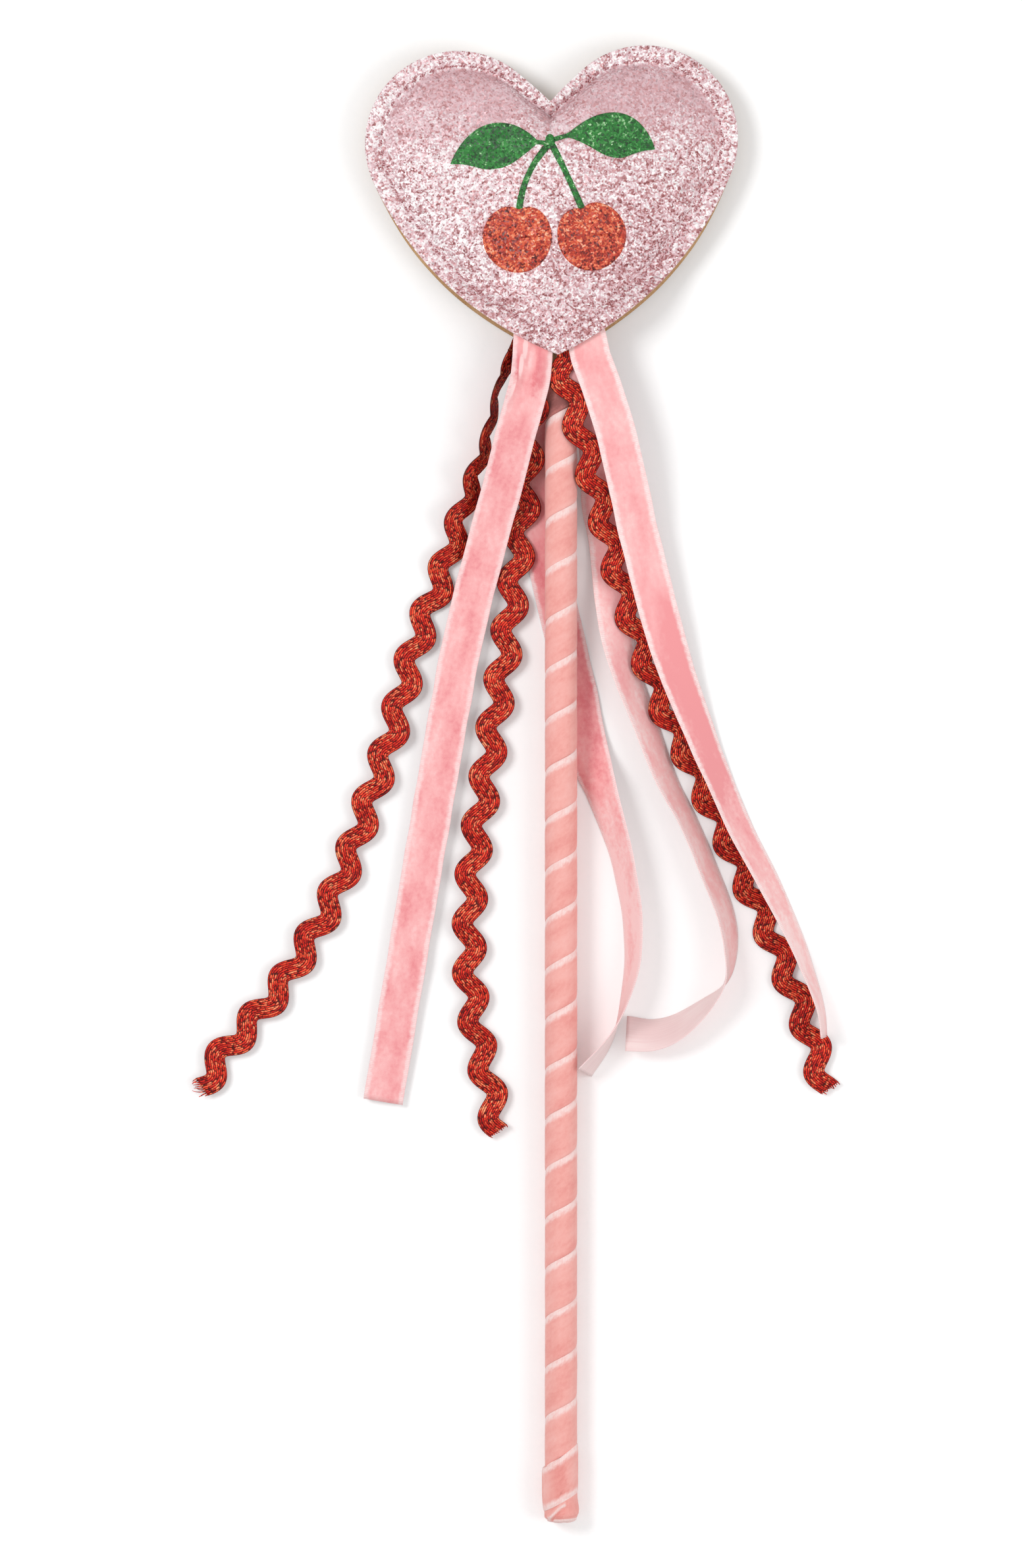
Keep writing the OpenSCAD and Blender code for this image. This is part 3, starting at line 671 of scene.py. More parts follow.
def blown_cloth():
    """How far the cloth inside the seam rises or falls when it is sewn down slack over its filling:
    a cloth simulation of the crown, held at the seam, with pressure from below."""
    around = STITCHES * 2
    rings = heart_loops([RIM_W], SIM_SHARES, around)
    flat = np.concatenate(rings + [CENTRE])
    start = crown_z(flat)
    last = len(rings) * around
    pad = piece("pad_cloth", placed(flat, start), dome_faces(len(rings), around), [])
    pad.vertex_groups.new(name="seam").add(list(range(around)), 1.0, "ADD")
    cloth = pad.modifiers.new("cloth", "CLOTH")
    for key, value in SIM_CLOTH.items():
        setattr(cloth.settings, key, value)
    cloth.settings.effector_weights.gravity = 0
    cloth.point_cache.frame_start, cloth.point_cache.frame_end = 1, SIM_STEPS
    for step in range(1, SIM_STEPS + 1):
        scene.frame_set(step)
    solved = pad.evaluated_get(bpy.context.evaluated_depsgraph_get())
    end = np.array([v.co.z for v in solved.data.vertices]) / MM
    bpy.data.objects.remove(pad)
    scene.frame_set(1)
    rise = SIM_SHARE * np.clip(end - start, -SIM_CAP, SIM_CAP)
    return np.vstack([rise[:last].reshape(len(rings), around), np.full(around, rise[last])])


def blown_z(p):
    """The simulated rise at a point."""
    a = angle_of(p)
    share = np.linalg.norm(p, axis=-1) / edge_at(a, pad_at(a))
    marks = np.concatenate([[1.04], SIM_SHARES, [0.0]])
    row = np.interp(-share, -marks, np.arange(len(marks)))
    column = stitch_turn(a) * 2
    i, j = np.minimum(row.astype(int), len(marks) - 2), column.astype(int)
    u, v, n = row - i, column - j, BLOWN.shape[1]
    left, right = (BLOWN[i, k % n] * (1 - u) + BLOWN[i + 1, k % n] * u for k in (j, j + 1))
    return left * (1 - v) + right * v


# Forms of the front cloth, in mm: bulge of the rim, depth and half width of the seam's valley and where the
# dip inside it lies, height and reach of the puckers, (height, wavelength, seed) of the waves, deepest dent
RIM_BULGE = 0.3
SEAM_DEPTH, SEAM_SPREAD = 0.48, 0.8
DIP_AT, DIP_DEPTH, DIP_SPREAD = 8, 1.0, 2.6
PUCKER, PUCKER_REACH = 0.34, 3.2
WAVES = (0.42, 17.0, 3), (0.16, 6.5, 8)
DEEPEST = 0.85
# Creases: from, to, depth, half width
FRONT_DENTS = [
    ((27, -26), (11, -37), 1.2, 2.6), ((-25, -27), (-14, -35), 0.9, 2.6),
    ((20, -20), (9, -31), 0.6, 1.7), ((-3, -33), (1, -44), 0.3, 1.8), ((13, -8), (22, -9), 0.25, 1.2),
]
PULL = np.random.RandomState(5).uniform(0.45, 1.0, STITCHES + 1)


def inset_at(p):
    """How far a point lies inside the heart's edge, scaled so that the seam lies at RIM_W."""
    a = angle_of(p)
    reach, square = outline(a)
    return (reach - np.linalg.norm(p, axis=-1)) * square * RIM_W / rim_at(a)


def front_z(p):
    """Height of the glitter cloth over the heart's plane."""
    inset = inset_at(p)
    turn = stitch_turn(angle_of(p))
    pull = np.interp(turn, np.arange(STITCHES + 1), PULL)
    beat = np.cos(2 * np.pi * turn)
    z = crown_z(p) + blown_z(p)
    z = z + RIM_BULGE * np.sin(np.pi * np.clip(inset / RIM_W, 0, 1)) * (1 + 0.5 * beat)
    tight = 0.55 + 0.45 * fade(p[..., 1], -22, 8)
    z = z - SEAM_DEPTH * tight * hill(inset - RIM_W, SEAM_SPREAD) * (0.75 - 0.25 * beat)
    z = z - DIP_DEPTH * hill(inset - DIP_AT, DIP_SPREAD) * fade(inset, 6.3, 7.6)
    inside = np.maximum(inset - RIM_W, 0)
    z = z + PUCKER * pull * beat * np.exp(-inside / PUCKER_REACH) * fade(inset, RIM_W, RIM_W + 1.2)
    deep = fade(inset, RIM_W + 1, RIM_W + 14)
    z = z + deep * sum(high * ripple(p[..., 0], p[..., 1], wave, seed) for high, wave, seed in WAVES)
    for dent in FRONT_DENTS:
        z = z + line_dent(p, *dent)
    drop = z - crown_z(p)
    return z + np.where(drop < 0, DEEPEST * np.tanh(drop / DEEPEST) - drop, 0)


def panel(name, outer, inner, outer_z, inner_z, materials):
    """A closed cloth panel: outer rings, inner rings and the cut edge between them."""
    k = len(outer[0])
    points = [placed(r, outer_z(r)) for r in outer + [CENTRE]]
    points += [placed(r, inner_z(r)) for r in inner + [CENTRE]]
    flat = np.concatenate(outer + [CENTRE] + inner + [CENTRE])
    uv = pair(inset_at(flat), flat[:, 1])
    base = len(outer) * k + 1
    over = dome_faces(len(outer), k)
    under = [f[::-1] for f in dome_faces(len(inner), k, base)]
    edge = [((j + 1) % k, j, base + j, base + (j + 1) % k) for j in range(k)]
    look = [0] * len(over) + [1] * len(under) + [2] * k
    return piece(name, np.concatenate(points), over + under + edge, materials, uv, look)


BLOWN = blown_cloth()
AROUND = STITCHES * 5
RIM_RINGS = [0, 0.25, 0.7, 1.5, 2.5, 3.4, 4.1, 4.6, 5.0, 5.4, 5.9]
PAD_RINGS = [
    1, 0.98, 0.96, 0.935, 0.91, 0.885, 0.86, 0.83, 0.8, 0.765, 0.73,
    0.69, 0.65, 0.6, 0.55, 0.5, 0.44, 0.38, 0.31, 0.23, 0.14, 0.06,
]
INNER_RIM = [0, 3, 5]
INNER_PAD = [1, 0.9, 0.75, 0.5, 0.25]
# Inner faces: how much lower the front's crown is, to clear its dents, and how far both stand off the seam
INNER_DROP, INNER_OFF = 0.9, 0.05
# How far the back shows past the front
PEEK = 0.75


def front_in_z(p):
    return SEAM_Z + vault(p, MOUTH_FRONT, FRONT_CROWN - PANEL_T - INNER_DROP) + INNER_OFF


def back_z(p):
    """Height of the back's inner face, flat where the heart lies on the floor."""
    depth = vault(p, MOUTH_BACK, BACK_CROWN + FLAT_CUT - PANEL_T)
    return np.maximum(FLOOR_Z + PANEL_T, SEAM_Z - depth)


def back_out_z(p):
    beat = np.cos(2 * np.pi * stitch_turn(angle_of(p)))
    seam = 0.45 * hill(inset_at(p) - RIM_W, SEAM_SPREAD) * (0.75 - 0.25 * beat)
    return np.maximum(back_z(p) - PANEL_T + seam, LOWEST)


def back_in_z(p):
    return back_z(p) - INNER_OFF


def back_rings(insets, scales):
    """Rings of the back, which shows a little past the front at the lower sides."""
    rings = [r[::-1] for r in heart_loops(insets, scales, AROUND)]
    for i, r in enumerate(rings[:len(insets)]):
        show = PEEK * (1 - fade(r[:, 1], -25, 0)) * (0.3 + 0.7 * fade(r[:, 1] + MID, 8, 24))
        rings[i] = r * (1 + show / np.linalg.norm(r, axis=1))[:, None]
    return rings


front = panel(
    "heart_front_cloth", heart_loops(RIM_RINGS, PAD_RINGS, AROUND), heart_loops(INNER_RIM, INNER_PAD, AROUND),
    front_z, front_in_z, [PINK_GLITTER, CUT_EDGE, CUT_EDGE],
)
on_wand(front, "heart_front")

back = panel(
    "heart_back_cloth", back_rings(RIM_RINGS, PAD_RINGS[::2]), back_rings(INNER_RIM, INNER_PAD),
    back_out_z, back_in_z, [TAN_FELT] * 3,
)
on_wand(back, "heart_back")


# Running stitch: each thread dips into the cloth at both ends

# Half a stitch as a share of the step, how far its middle stands over the cloth and how deep its ends dip
STITCH_HALF, STITCH_RISE, STITCH_DIP = 0.36, 0.12, 0.75


def stitches():
    points, faces, uv = [], [], []
    k, n = 8, 9
    turn = np.linspace(0, 2 * np.pi, k, endpoint=False)
    sink = np.abs(np.linspace(-1, 1, n)) ** 3
    for i in range(STITCHES):
        t = (i + 0.5 + np.linspace(-STITCH_HALF, STITCH_HALF, n)) / STITCHES * RUN[-1]
        a = np.interp(t, RUN, LOOK)
        flat = edge_at(a, rim_at(a))[:, None] * way_at(a)
        spine = placed(flat, front_z(flat) + STITCH_RISE - STITCH_DIP * sink)
        ahead = unit(np.gradient(spine, axis=0))
        side = unit(np.cross([0, 0, 1], ahead))
        points.append(rings_round(spine, STITCH_R * (1 - 0.25 * sink), turn, side, np.cross(ahead, side)))
        faces += capped_tube(n, k, i * k * n)
        uv.append(grid_uv(t, turn / (2 * np.pi)))
    return piece("edge_stitches", np.concatenate(points), faces, [THREAD], np.concatenate(uv))


on_wand(stitches(), "edge_stitching")


# Printed fruit figure: thin film that follows the cloth

FILM_LOW, FILM_TOP = 0.02, 0.3
KNOT = np.array([0.0, 66.73 - MID])
KNOT_R = np.array([1.5, 2.3])
FRUIT_R, FRUIT_X, FRUIT_Y = 10.5, 11.4, 36.4 - MID
LEAF_HALF, STALK_HALF, STALK_FOOT = 6.75, 0.88, 8.7
# Per side: how far the dimple leans in, the leaf's length, rise, droop and fullest place, the stalk's bow
# and how far below the knot the leaf starts
FIGURE = {
    1: (math.radians(18), 31.0, 0.33, 0.0139, 1.25, 0.2, -0.7),
    -1: (math.radians(5), 30.6, 0.2, 0.0115, 0.97, 1.8, -1.9),
}


def film(name, sheets, material):
    """A film from grids of flat points: rows by columns, each with a rim turned down to the cloth."""
    points, faces, start = [], [], 0
    for grid in sheets:
        stand = np.full(grid.shape[:2], FILM_TOP)
        stand[[0, -1]] = stand[:, [0, -1]] = FILM_LOW
        points.append(placed(grid, front_z(grid) + stand).reshape(-1, 3))
        faces += tube_faces(*stand.shape, False, start)
        start += stand.size
    return piece(name, np.concatenate(points), faces, [material])


def beside(spine):
    """Directions square to a flat line, on its left."""
    ahead = unit(np.gradient(spine, axis=0))
    return pair(-ahead[:, 1], ahead[:, 0])


def fruit_grid(side):
    turn = np.linspace(0, 2 * np.pi, 97)
    top = np.pi / 2 + side * FIGURE[side][0]
    off = np.arctan2(np.sin(turn - top), np.cos(turn - top))
    r = FRUIT_R * (1.015 - 0.19 * np.exp(-(np.abs(off) / 0.3) ** 1.4) + 0.012 * np.sin(3 * turn + side))
    shares = np.array([0.001, 0.2, 0.4, 0.6, 0.8, 0.93, 0.985, 1.0])
    return np.array([side * FRUIT_X, FRUIT_Y]) + shares[:, None, None] * r[:, None] * way_at(turn)


def leaf_grid(side):
    t = np.linspace(0, 1, 48)
    _, length, rise, droop, skew, _, base = FIGURE[side]
    x = 0.8 + length * t
    spine = pair(x, base + rise * x - droop * x ** 2)
    blade = np.clip((t - 0.13) / 0.87, 0, 1)
    half = LEAF_HALF * np.sin(np.pi * blade ** skew) ** 0.9 + 0.7 * (1 - t) + 0.04
    v = np.array([-1, -0.96, -0.85, -0.6, -0.3, 0, 0.3, 0.6, 0.85, 0.96, 1])
    hook = np.where(v < 0, 1 - 0.35 * fade(t, 0.72, 0.98)[:, None], 1.0)
    grid = spine[:, None] + (v * hook)[..., None] * (half[:, None] * beside(spine))[:, None]
    return KNOT + grid * np.array([side, 1])


def stalk_grid(side):
    t = np.linspace(0, 1, 30)
    lean, bow = FIGURE[side][0], FIGURE[side][5]
    foot = np.array([side * (FRUIT_X - STALK_FOOT * math.sin(lean)), FRUIT_Y + STALK_FOOT * math.cos(lean)])
    head = KNOT + [side * 0.6 - 0.5, -2.2]
    run = foot - head
    aside = np.array([-run[1], run[0]]) / np.linalg.norm(run) * side * bow
    spine = head + t[:, None] * run + (4 * t * (1 - t))[:, None] * aside
    v = np.array([-1, -0.85, -0.4, 0, 0.4, 0.85, 1])
    half = STALK_HALF + 0.15 * np.cos(np.pi * t) ** 2
    return spine[:, None] + v[:, None] * (half[:, None] * beside(spine))[:, None]


def knot_grid():
    rim = KNOT_R * way_at(np.linspace(0, 2 * np.pi, 33))
    return KNOT + (-0.5, -1.0) + np.array([0.001, 0.5, 0.9, 1.0])[:, None, None] * rim


leaves = film("leaf_film", [leaf_grid(1), leaf_grid(-1)], GREEN_GLITTER)
on_wand(leaves, "leaf_print")
stalks = film("stalk_film", [stalk_grid(1), stalk_grid(-1), knot_grid()], GREEN_GLITTER)
on_wand(stalks, "stalk_print")
fruits = film("fruit_film", [fruit_grid(1), fruit_grid(-1)], RED_GLITTER)
on_wand(fruits, "fruit_print")


# Stick: the ribbon wound on the dowel and its end folded round the butt

PITCH, WRAP_FROM, WRAP_TO, WRAP_TURN = 15.4, 1.3, 370.0, math.radians(174)
WRAP_W, WRAP_IN_R = 14.6, 4.06
# Radius at which the wound ribbon's and the folded end's lengths are counted
WRAP_UV_R, CUFF_UV_R = 5.3, 5.5
# From here on the ribbon is pulled thin, under the tails
THIN_FROM = 344.0


def on_stick(a, r, h):
    """Point at angle a, radius r and height h along the leaning stick."""
    x, y, z = np.broadcast_arrays(r * np.cos(a), h, -r * np.sin(a))
    return np.stack([x, y * math.cos(LIFT) - z * math.sin(LIFT), y * math.sin(LIFT) + z * math.cos(LIFT)], -1)


def wound_ribbon():
    per_turn = 48
    n = int((WRAP_TO - WRAP_FROM - WRAP_W) / PITCH * per_turn) + 1
    v = np.array([-0.3, 0.0, 0.4, 1.0, 2.2, 4.0, 6.0, 8.0, 10.0, 11.8, 12.8, 13.4, 14.2, 14.9, 15.4])
    top = np.array([4.8, 4.92, 4.98, 5.0, 5.0, 5.0, 5.0, 5.0, 5.0, 4.99, 4.96, 4.92, 4.88, 4.84, 4.7])
    turn = np.arange(n) / per_turn * 2 * np.pi
    a = (WRAP_TURN + turn)[:, None]
    wobble = 0.22 * ripple(turn, 0, 7.0, 11)[:, None]
    rise = (WRAP_FROM + turn / (2 * np.pi) * PITCH)[:, None] + v + wobble
    soft = 0.05 * ripple(turn[:, None] * 4.5, v, 9.0, 4)
    thin = 0.42 * fade(rise, THIN_FROM, THIN_FROM + 9)
    outer = on_stick(a, top + soft - thin, rise)
    inner = on_stick(a, WRAP_IN_R, rise)
    ring = np.concatenate([outer, inner[:, ::-1]], 1)
    faces = capped_tube(n, ring.shape[1], flip=True)
    uv = grid_uv(turn * WRAP_UV_R, np.concatenate([v, v[::-1]]) - WRAP_HALF)
    return piece("wound_velvet", ring.reshape(-1, 3), faces, [WRAP_VELVET], uv)


wrap = wound_ribbon()
on_wand(wrap, "stick_wrap")


# Heights of the folded end's upper and lower edges, each with half its slant
CUFF_TOP, CUFF_LOW = (20.6, 3.85), (6.4, 2.9)
# The ribbon's end is tucked in between these angles
TUCK = math.radians(212), math.radians(288)


def folded_end():
    """Sleeve with slanting upper and lower edges, and the ribbon tucked in under the butt."""
    seg = 120
    a = np.linspace(np.pi / 2, 2.5 * np.pi, seg + 1)
    length = a * CUFF_UV_R
    tilt = np.cos(a)
    rise = CUFF_TOP[0] + CUFF_TOP[1] * tilt
    step = CUFF_LOW[0] + CUFF_LOW[1] * tilt
    ring = [on_stick(a, 4.9, rise + 0.05)]
    flat = [pair(length, WRAP_HALF)]
    for s in np.concatenate([np.linspace(0, 0.08, 4), np.linspace(0.16, 0.9, 12), np.linspace(0.95, 1, 3)]):
        h = rise + (step - rise) * s
        bulge = (0.62 - 0.35 * fade(s, 0.55, 1)) * (1 - tilt) / 2
        r = 5.32 + bulge + 0.08 * ripple(length, h, 11.0, 21)
        ring.append(on_stick(a, r - 0.2 * (1 - fade(s, 0, 0.08)) - 0.2 * fade(s, 0.93, 1), h))
        flat.append(pair(length, WRAP_HALF - s * 2 * WRAP_HALF))
    line = 1.0 + 4.4 * fade(a, TUCK[0], TUCK[1])
    near = fade(a, TUCK[0] - 0.15, TUCK[0] + 0.05) * (1 - fade(a, TUCK[1] - 0.1, TUCK[1] + 0.3))
    for s in (0.0, 0.06, 0.14, 0.24, 0.34, 0.44, 0.54, 0.64, 0.74, 0.84, 0.92, 1.0):
        h = step - 0.12 + (0.9 - step) * s
        fold = 0.42 * hill(h - 2.0 - 2.1 * (1 + tilt) / 2, 0.55)
        r = 5.18 + 0.42 * fade(s, 0.15, 0.75) * (1 + tilt) / 2 + 0.08 * ripple(length, h, 7.0, 22)
        tuck = near * hill(h - line + 0.75, 0.55)
        r = r - fold * np.clip(-np.sin(a), 0, 1) * (1 - near) - 0.6 * tuck - 0.75 * fade(s, 0.68, 1)
        ring.append(on_stick(a, r, h))
        tucked = near * (7.2 - 2.0 * np.abs(h - line)) - 5 * (1 - near)
        pale = np.maximum(3.0 - 4 * s + 8 * fade(s, 0.78, 0.95), tucked)
        flat.append(pair(length + 100, pale - 3 * tuck))
    for r, h in ((4.2, 0.35), (3.4, 0.08), (2.6, 0.03), (1.4, 0.1), (0.02, 0.16)):
        crease = 0.12 * np.cos(5 * a) * (r > 1)
        ring.append(on_stick(a, r, h + np.maximum(0, crease)))
        flat.append(pair(length, 7.0 - (5 - r)))
    faces = tube_faces(len(ring), seg + 1, False)
    points, uv = np.stack(ring).reshape(-1, 3), np.stack(flat).reshape(-1, 2)
    return piece("folded_velvet", points, faces, [CUFF_VELVET], uv)


cuff = folded_end()
on_wand(cuff, "butt_cuff")


# Tails: each point is place across, distance below the root, share of the root's height, roll.
# A share or a roll that is left out is 0

LEFT_VELVET = [
    [-8.9, 0, 1], [-9.5, 6, 1], [-10.8, 11.5, 0.98], [-14.0, 23, 0.85], [-17.3, 36, 0.62],
    [-21.1, 50, 0.38], [-25.4, 66, 0.22], [-31.7, 93, 0.06], [-40, 140], [-47.8, 186], [-55.2, 230],
]
RIGHT_VELVET = [
    [9.2, 0, 1], [11.4, 5.8, 1], [13.2, 11, 1], [17.7, 26, 0.96], [23.4, 51, 0.62, -3],
    [30.7, 80, 0.33, -10], [36.9, 100, 0.1, -27], [48, 128, 0.02, -46], [55.7, 146, 0, -51],
    [65.3, 164, 0, -56], [72.2, 179, 0, -64], [77.6, 193, 0, -72], [80.4, 202, 0, -76], [81.3, 210, 0, -78],
]
MIDDLE_VELVET = [
    [5.0, 0, 1], [7.8, 9, 0.94], [10.8, 20, 0.66], [12.1, 32, 0.36], [12.7, 45, 0.16], [15, 57, 0.06],
    [16.4, 73, 0, -12], [18.6, 92, 0, -40], [26.0, 113, 0, -50], [33.0, 131, 0, -56], [39.6, 144, 0, -61],
    [46.3, 160, 0, -60], [50.8, 172, 0, -62], [52.4, 182, 0, -68], [51.2, 192, 0, -84],
    [45.5, 199, 0, -106], [36.7, 206, 0, -126], [28.4, 209, 0, -140], [20.2, 208.6, 0, -150],
]
REAR_VELVET = [
    [-2.5, 0, 1], [-4, 10, 0.45], [-6, 22, 0.1], [-6.5, 40], [-5.4, 57], [-1.6, 74], [4.8, 102],
    [8.9, 122, 0, 8], [12.9, 134, 0, 38], [18.7, 153, 0, 55], [22, 170, 0, 60], [22.5, 182, 0, 65],
    [21.4, 192, 0, 72], [18.6, 203, 0, 86], [14.6, 212, 0, 102], [7.6, 221, 0, 114],
]
LEFT_RICRAC = [
    [-13.4, 0, 0.36, -45], [-16.8, 2.8, 0.27, -66], [-18.7, 6, 0.22, -76], [-19.9, 10.5, 0.18, -79],
    [-21.3, 17.5, 0.14, -74], [-23.2, 25.5, 0.1, -68], [-26.6, 36, 0.06, -54], [-31.2, 49, 0.02, -36],
    [-35.9, 64, 0, -14], [-41, 77], [-45.9, 91], [-52.3, 115], [-59.6, 137], [-64.8, 152], [-70.9, 167],
    [-78, 180], [-86.5, 193.5], [-96.3, 205.5], [-105.4, 216], [-111.2, 225.5],
]
CENTRE_RICRAC = [
    [-10.0, 0, 1], [-9.0, 12, 0.9], [-10.2, 24, 0.62], [-10.9, 38, 0.28], [-12.7, 54, 0.13],
    [-15.3, 75, 0.12], [-18, 95, 0.02], [-20.8, 112], [-23.2, 129], [-25.7, 145], [-27.6, 160],
    [-28.4, 175], [-28.2, 192], [-26.2, 208], [-23, 222.5], [-19.6, 239],
]
RIGHT_RICRAC = [
    [0.4, 0, 1], [1.8, 8, 1], [4.9, 18, 0.98], [8.1, 30, 0.92], [11.3, 42, 0.66], [14.8, 54, 0.46],
    [18.5, 68, 0.4], [22.2, 80, 0.36], [26.4, 92, 0.34], [32.8, 109, 0.3], [39.4, 122, 0.23],
    [46.0, 136, 0.15], [52.0, 148.5, 0.13], [58.0, 162, 0.08], [64.0, 175], [70.0, 189.5], [75.2, 203],
    [79.6, 216.5], [82, 226],
]
ROOT_IN = 8.5
# Height off the floor past the heart, where it starts and where it is full
OFF_FLOOR = 2.8, 50, 110
LATE_OFF_FLOOR = 2.4, 165, 210
ON_FLOOR = 0, 50, 110
VELVET_T = 0.7
# Ric-rac: width of the band, thickness, height and length of the wave, lean of the strands
BAND_W, BAND_T, WAVE_H, WAVE_L, LEAN = 6.7, 0.8, 2.2, 15.3, 0.5


def curve(route, u):
    """Smooth curve through the route's points."""
    q = np.array([spot + [0.0] * (4 - len(spot)) for spot in route])
    q = np.vstack([2 * q[0] - q[1], q, 2 * q[-1] - q[-2]])
    i = np.minimum(len(q) - 4, np.floor(u).astype(int))
    t = (u - i)[:, None]
    a, b, c, d = q[i], q[i + 1], q[i + 2], q[i + 3]
    return b + t / 2 * (c - a + t * (2 * a - 5 * b + 4 * c - d + t * (3 * (b - c) + d - a)))


def tail_path(route, root_z, w, t, step, stand):
    """Places along a tail from inside the mouth to its end, and its directions along, across and out.
    Where the tail lies flat it stands off the floor a little."""
    u = np.linspace(0, len(route) - 1, (len(route) - 1) * 40 + 1)
    q = curve(route, u)
    roll = np.radians(q[:, 3])
    lowest = w / 2 * np.abs(np.sin(roll)) + t / 2 * np.abs(np.cos(roll))
    flat = 1 - fade(np.abs(np.sin(roll)), 0.3, 0.8)
    high, begin, full = stand
    lowest = lowest + high * flat * fade(q[:, 1], begin, full) * (1 - 0.3 * fade(q[:, 1], 170, 230))
    spots = np.stack([q[:, 0], ROOT_Y - q[:, 1], FLOOR_Z + q[:, 2] * (root_z - FLOOR_Z) + lowest], -1)
    run = run_along(spots)
    s = np.arange(0, run[-1], step)
    s = np.append(s[:-1], run[-1])
    place = np.stack([np.interp(s, run, spots[:, i]) for i in range(3)], -1)
    roll = np.interp(s, run, roll)
    inside = np.arange(-ROOT_IN, 0, step)
    lead = unit((place[3] - place[0]) * np.array([0.6, 1, 0]))
    place = np.vstack([place[0] + inside[:, None] * lead, place])
    s = np.concatenate([inside, s])
    roll = np.concatenate([roll[0] * fade(inside, -ROOT_IN, 0), roll])
    along = unit(np.gradient(place, s, axis=0))
    level = unit(np.cross([0, 0, 1.0], along))
    up = np.cross(along, level)
    c, n = np.cos(roll)[:, None], np.sin(roll)[:, None]
    return s, place, along, level * c + up * n, up * c - level * n


def above_floor(points):
    return np.concatenate([points[..., :2], np.maximum(points[..., 2:], LOWEST)], -1)


def velvet_tail(label, route, root_z, stand, folds, seed):
    """A velvet ribbon: pile above, satin below, thin woven edges, and soft folds given as
    (start, end, place across at start, at end, width, height)."""
    wide = 1.03
    s, place, _, across, out = tail_path(route, root_z, 2 * TAIL_HALF, VELVET_T, 1.0, stand)
    v = np.array([-6, -5.85, -5.5, -5.1, -4.6, -3.6, -2.4, -1.2, 0, 1.2, 2.4, 3.6, 4.6, 5.1, 5.5, 5.85, 6])
    thick = np.full(len(v), VELVET_T / 2)
    thick[:5] = 0.06, 0.16, 0.2, 0.22, 0.33
    thick[-5:] = thick[4::-1]
    lift = 0.1 * (1 + ripple(s[:, None], v, 24.0, seed)) * fade(s, 8, 30)[:, None]
    cup = (1 + ripple(s, 0, 38.0, seed + 1))[:, None]
    lift += 0.16 * (v / TAIL_HALF) ** 2 * cup * fade(s, 5, 20)[:, None]
    for start, end, from_v, to_v, width, height in folds:
        share = np.clip((s - start) / (end - start), 0, 1)
        at = from_v + (to_v - from_v) * share
        keep = np.sin(np.pi * share) ** 0.8
        lift += height * keep[:, None] * hill(v - at[:, None], width)
    wander = 0.12 * ripple(s, 0, 16.0, seed + 2)[:, None] * fade(s, 5, 25)[:, None]
    mid = place[:, None] + (wide * v + wander)[..., None] * across[:, None]
    mid = mid + lift[..., None] * out[:, None]
    top = mid + thick[:, None] * out[:, None]
    low = (mid - thick[:, None] * out[:, None])[:, ::-1]
    ring = above_floor(np.concatenate([top, low], 1))
    n, k, m = len(s), 2 * len(v), len(v)
    look = [0 if j < m or j == k - 1 else 1 for _ in range(n - 1) for j in range(k)] + [0, 0]
    uv = grid_uv(s + 37 * seed, np.concatenate([v, v[::-1]]))
    faces, cloths = capped_tube(n, k, flip=True), [TAIL_CLOTHS[label], SATIN]
    made = piece("velvet_ribbon_" + label, ring.reshape(-1, 3), faces, cloths, uv, look)
    return made, s[-1], place[np.searchsorted(s, 0)]


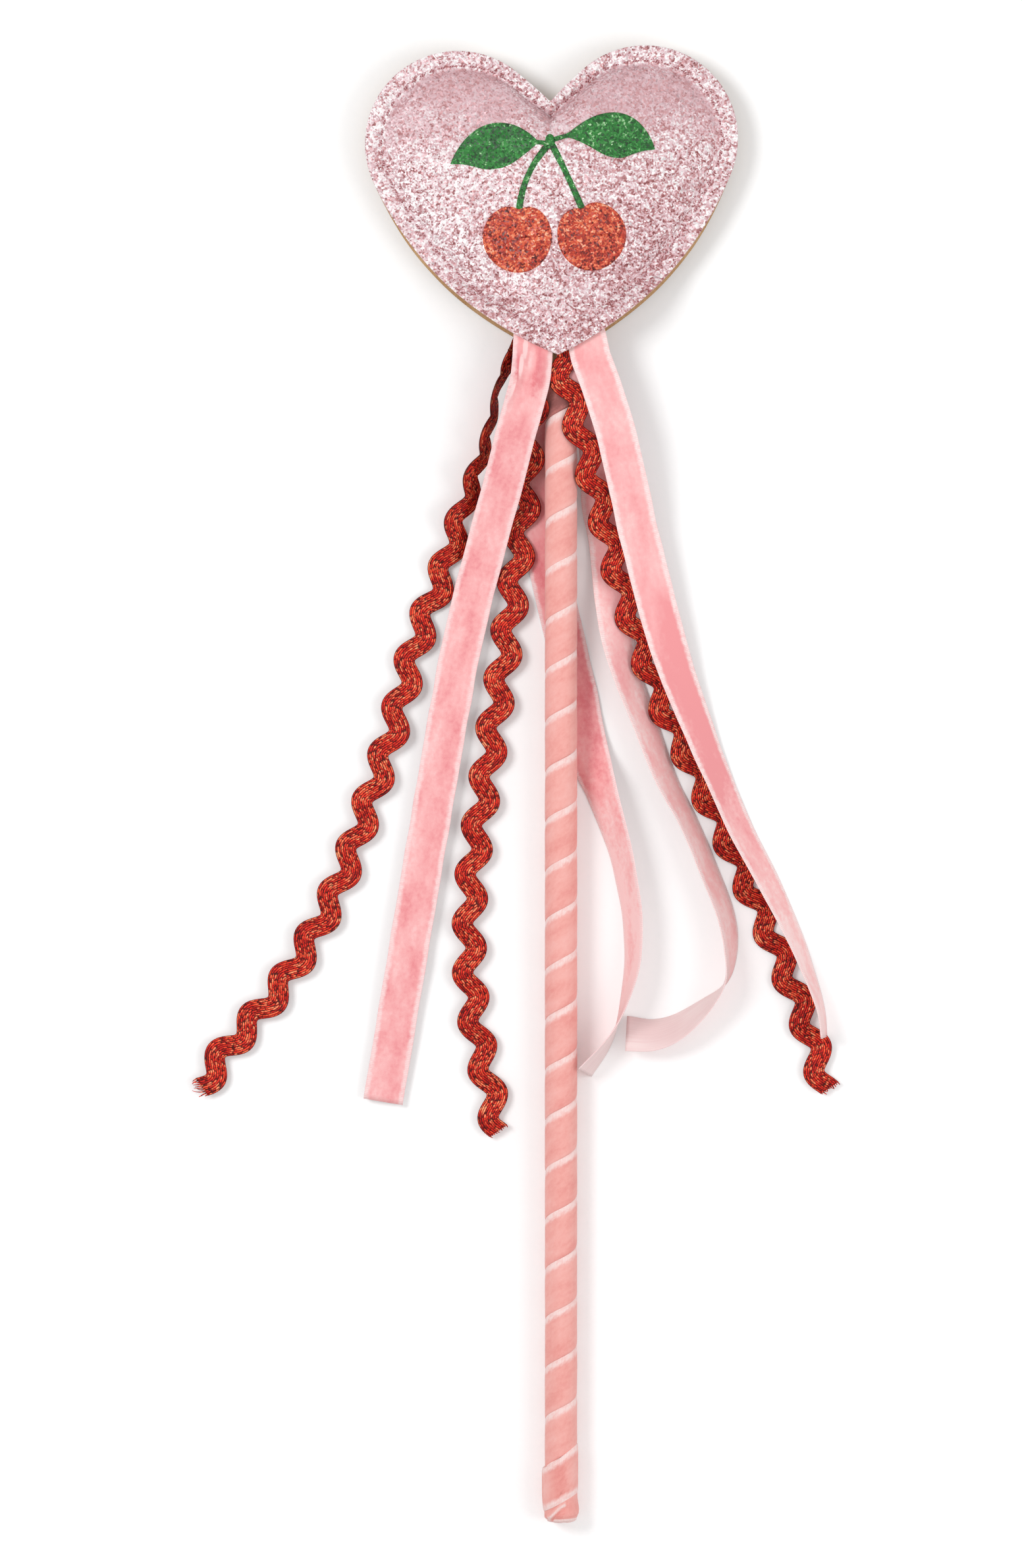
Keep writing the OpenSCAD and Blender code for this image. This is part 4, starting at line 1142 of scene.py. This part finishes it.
def ricrac_tail(label, route, root_z, stand, first_turn, gained, fray, seed):
    """Ric-rac: woven strands that follow the wave, with loose ends."""
    rng = np.random.RandomState(seed)
    s, place, along, across, out = tail_path(route, root_z, BAND_W + 2 * WAVE_H, BAND_T, 0.6, stand)
    held = np.maximum(s, 0)
    turn = np.radians(360 * held / WAVE_L + first_turn + gained * fade(held, 0, 3 * WAVE_L))
    slope = np.gradient(WAVE_H * np.sin(turn), s)
    mid = place + across * (WAVE_H * np.sin(turn))[:, None]
    wide = unit(across - LEAN * slope[:, None] * along)
    per = 3
    v = np.arange(STRANDS * per + 1) / per
    flat = (v / STRANDS - 0.5) * BAND_W
    hump = np.abs(np.sin(np.pi * v)) ** 0.7
    over = 0.07 * np.sin(2 * np.pi * held[:, None] / 4.1 + np.floor(v - 1e-6) * 2.2)
    edge = np.minimum(1, np.minimum(v, STRANDS - v) / 0.8 + 0.35)
    top = (0.16 + 0.24 * hump + over * hump) * edge
    upper = mid[:, None] + flat[:, None] * wide[:, None] + top[..., None] * out[:, None]
    low_v = v[::per * 2][::-1]
    low_flat = (low_v / STRANDS - 0.5) * BAND_W
    low_flat[[0, -1]] *= 0.97
    lower = mid[:, None] + low_flat[:, None] * wide[:, None] - 0.36 * out[:, None]
    ring = above_floor(np.concatenate([upper, lower], 1))
    n, k = ring.shape[:2]
    faces = capped_tube(n, k, flip=True)
    path_run = run_along(mid)
    points, uv = [ring.reshape(-1, 3)], [grid_uv(path_run + 53 * seed, np.concatenate([v, low_v]))]
    ahead = unit(mid[-1] - mid[-3])
    g = np.linspace(-0.12, 1, 7)
    around = np.linspace(0, 2 * np.pi, 6, endpoint=False)
    thick = 0.26 * (1 - 0.55 * np.clip(g, 0, 1))
    for i in range(STRANDS):
        length = fray * rng.uniform(0.25, 1.0)
        spread = rng.uniform(-0.55, 0.55)
        curl = rng.uniform(-0.5, 0.5)
        base = mid[-1] + wide[-1] * ((i + 0.5) / STRANDS - 0.5) * BAND_W
        aside = spread * g ** 2 * length + curl * g ** 3 * 0.8
        line = base + (g * length)[:, None] * ahead + aside[:, None] * wide[-1]
        line[:, 2] = np.maximum(line[:, 2] + rng.uniform(-0.1, 0.35) * g, FLOOR_Z + 0.22)
        faces += capped_tube(len(g), len(around), n * k + i * len(g) * len(around))
        points.append(rings_round(line, thick, around, wide[-1], out[-1]))
        uv.append(grid_uv(g * 3 + 17 * i, i + 0.5 + 0.3 * np.cos(around)))
    made = piece("ricrac_" + label, np.concatenate(points), faces, [BRAID], np.concatenate(uv))
    return made, s[-1], path_run[-1], place[np.searchsorted(s, 0)]


def bend(made, root):
    """Bakes the tail's place into its mesh."""
    root = root * MM
    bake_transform(made)


LEFT_FOLDS = [(-7, 20, -1.4, -5.6, 0.75, 1.7), (-6, 15, 3.4, 2.0, 1.2, 1.0), (-6, 12, 0.6, 0.2, 0.9, -0.6)]
RIGHT_FOLDS = [(-5, 16, 0.5, 2.5, 1.4, 0.7), (-5, 12, -2.4, -1.5, 0.9, -0.35)]
for label, route, root_z, stand, folds, seed, more in (
    ("left", LEFT_VELVET, STACK[2], OFF_FLOOR, LEFT_FOLDS, 1, ["velvet_roots"]),
    ("right", RIGHT_VELVET, STACK[2], OFF_FLOOR, RIGHT_FOLDS, 2, []),
    ("middle", MIDDLE_VELVET, STACK[0], OFF_FLOOR, [], 3, []),
    ("rear", REAR_VELVET, REAR_Z, ON_FLOOR, [], 4, []),
):
    made, length, root = velvet_tail(label, route, root_z, stand, folds, seed)
    bend(made, root)
    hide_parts("velvet_tail_" + label, *more)

for label, route, root_z, stand, first, gained, fray, seed, more in (
    ("left", LEFT_RICRAC, STACK[0], OFF_FLOOR, -90, 170, 3.4, 5, []),
    ("centre", CENTRE_RICRAC, STACK[1], OFF_FLOOR, 90, -35, 0.9, 6, ["ricrac_roots"]),
    ("right", RIGHT_RICRAC, STACK[1], LATE_OFF_FLOOR, -229, -25, 1.3, 7, []),
):
    made, length, worked, root = ricrac_tail(label, route, root_z, stand, first, gained, fray, seed)
    bend(made, root)
    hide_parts("ricrac_tail_" + label, *more)


# CAD nodes that stay: the dowel, the filling and the glue

for node, material in (("dowel", WOOD), ("heart_stuffing", FIBRE), ("mouth_glue", GLUE)):
    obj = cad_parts[node]
    obj.data.materials.clear()
    obj.data.materials.append(material)
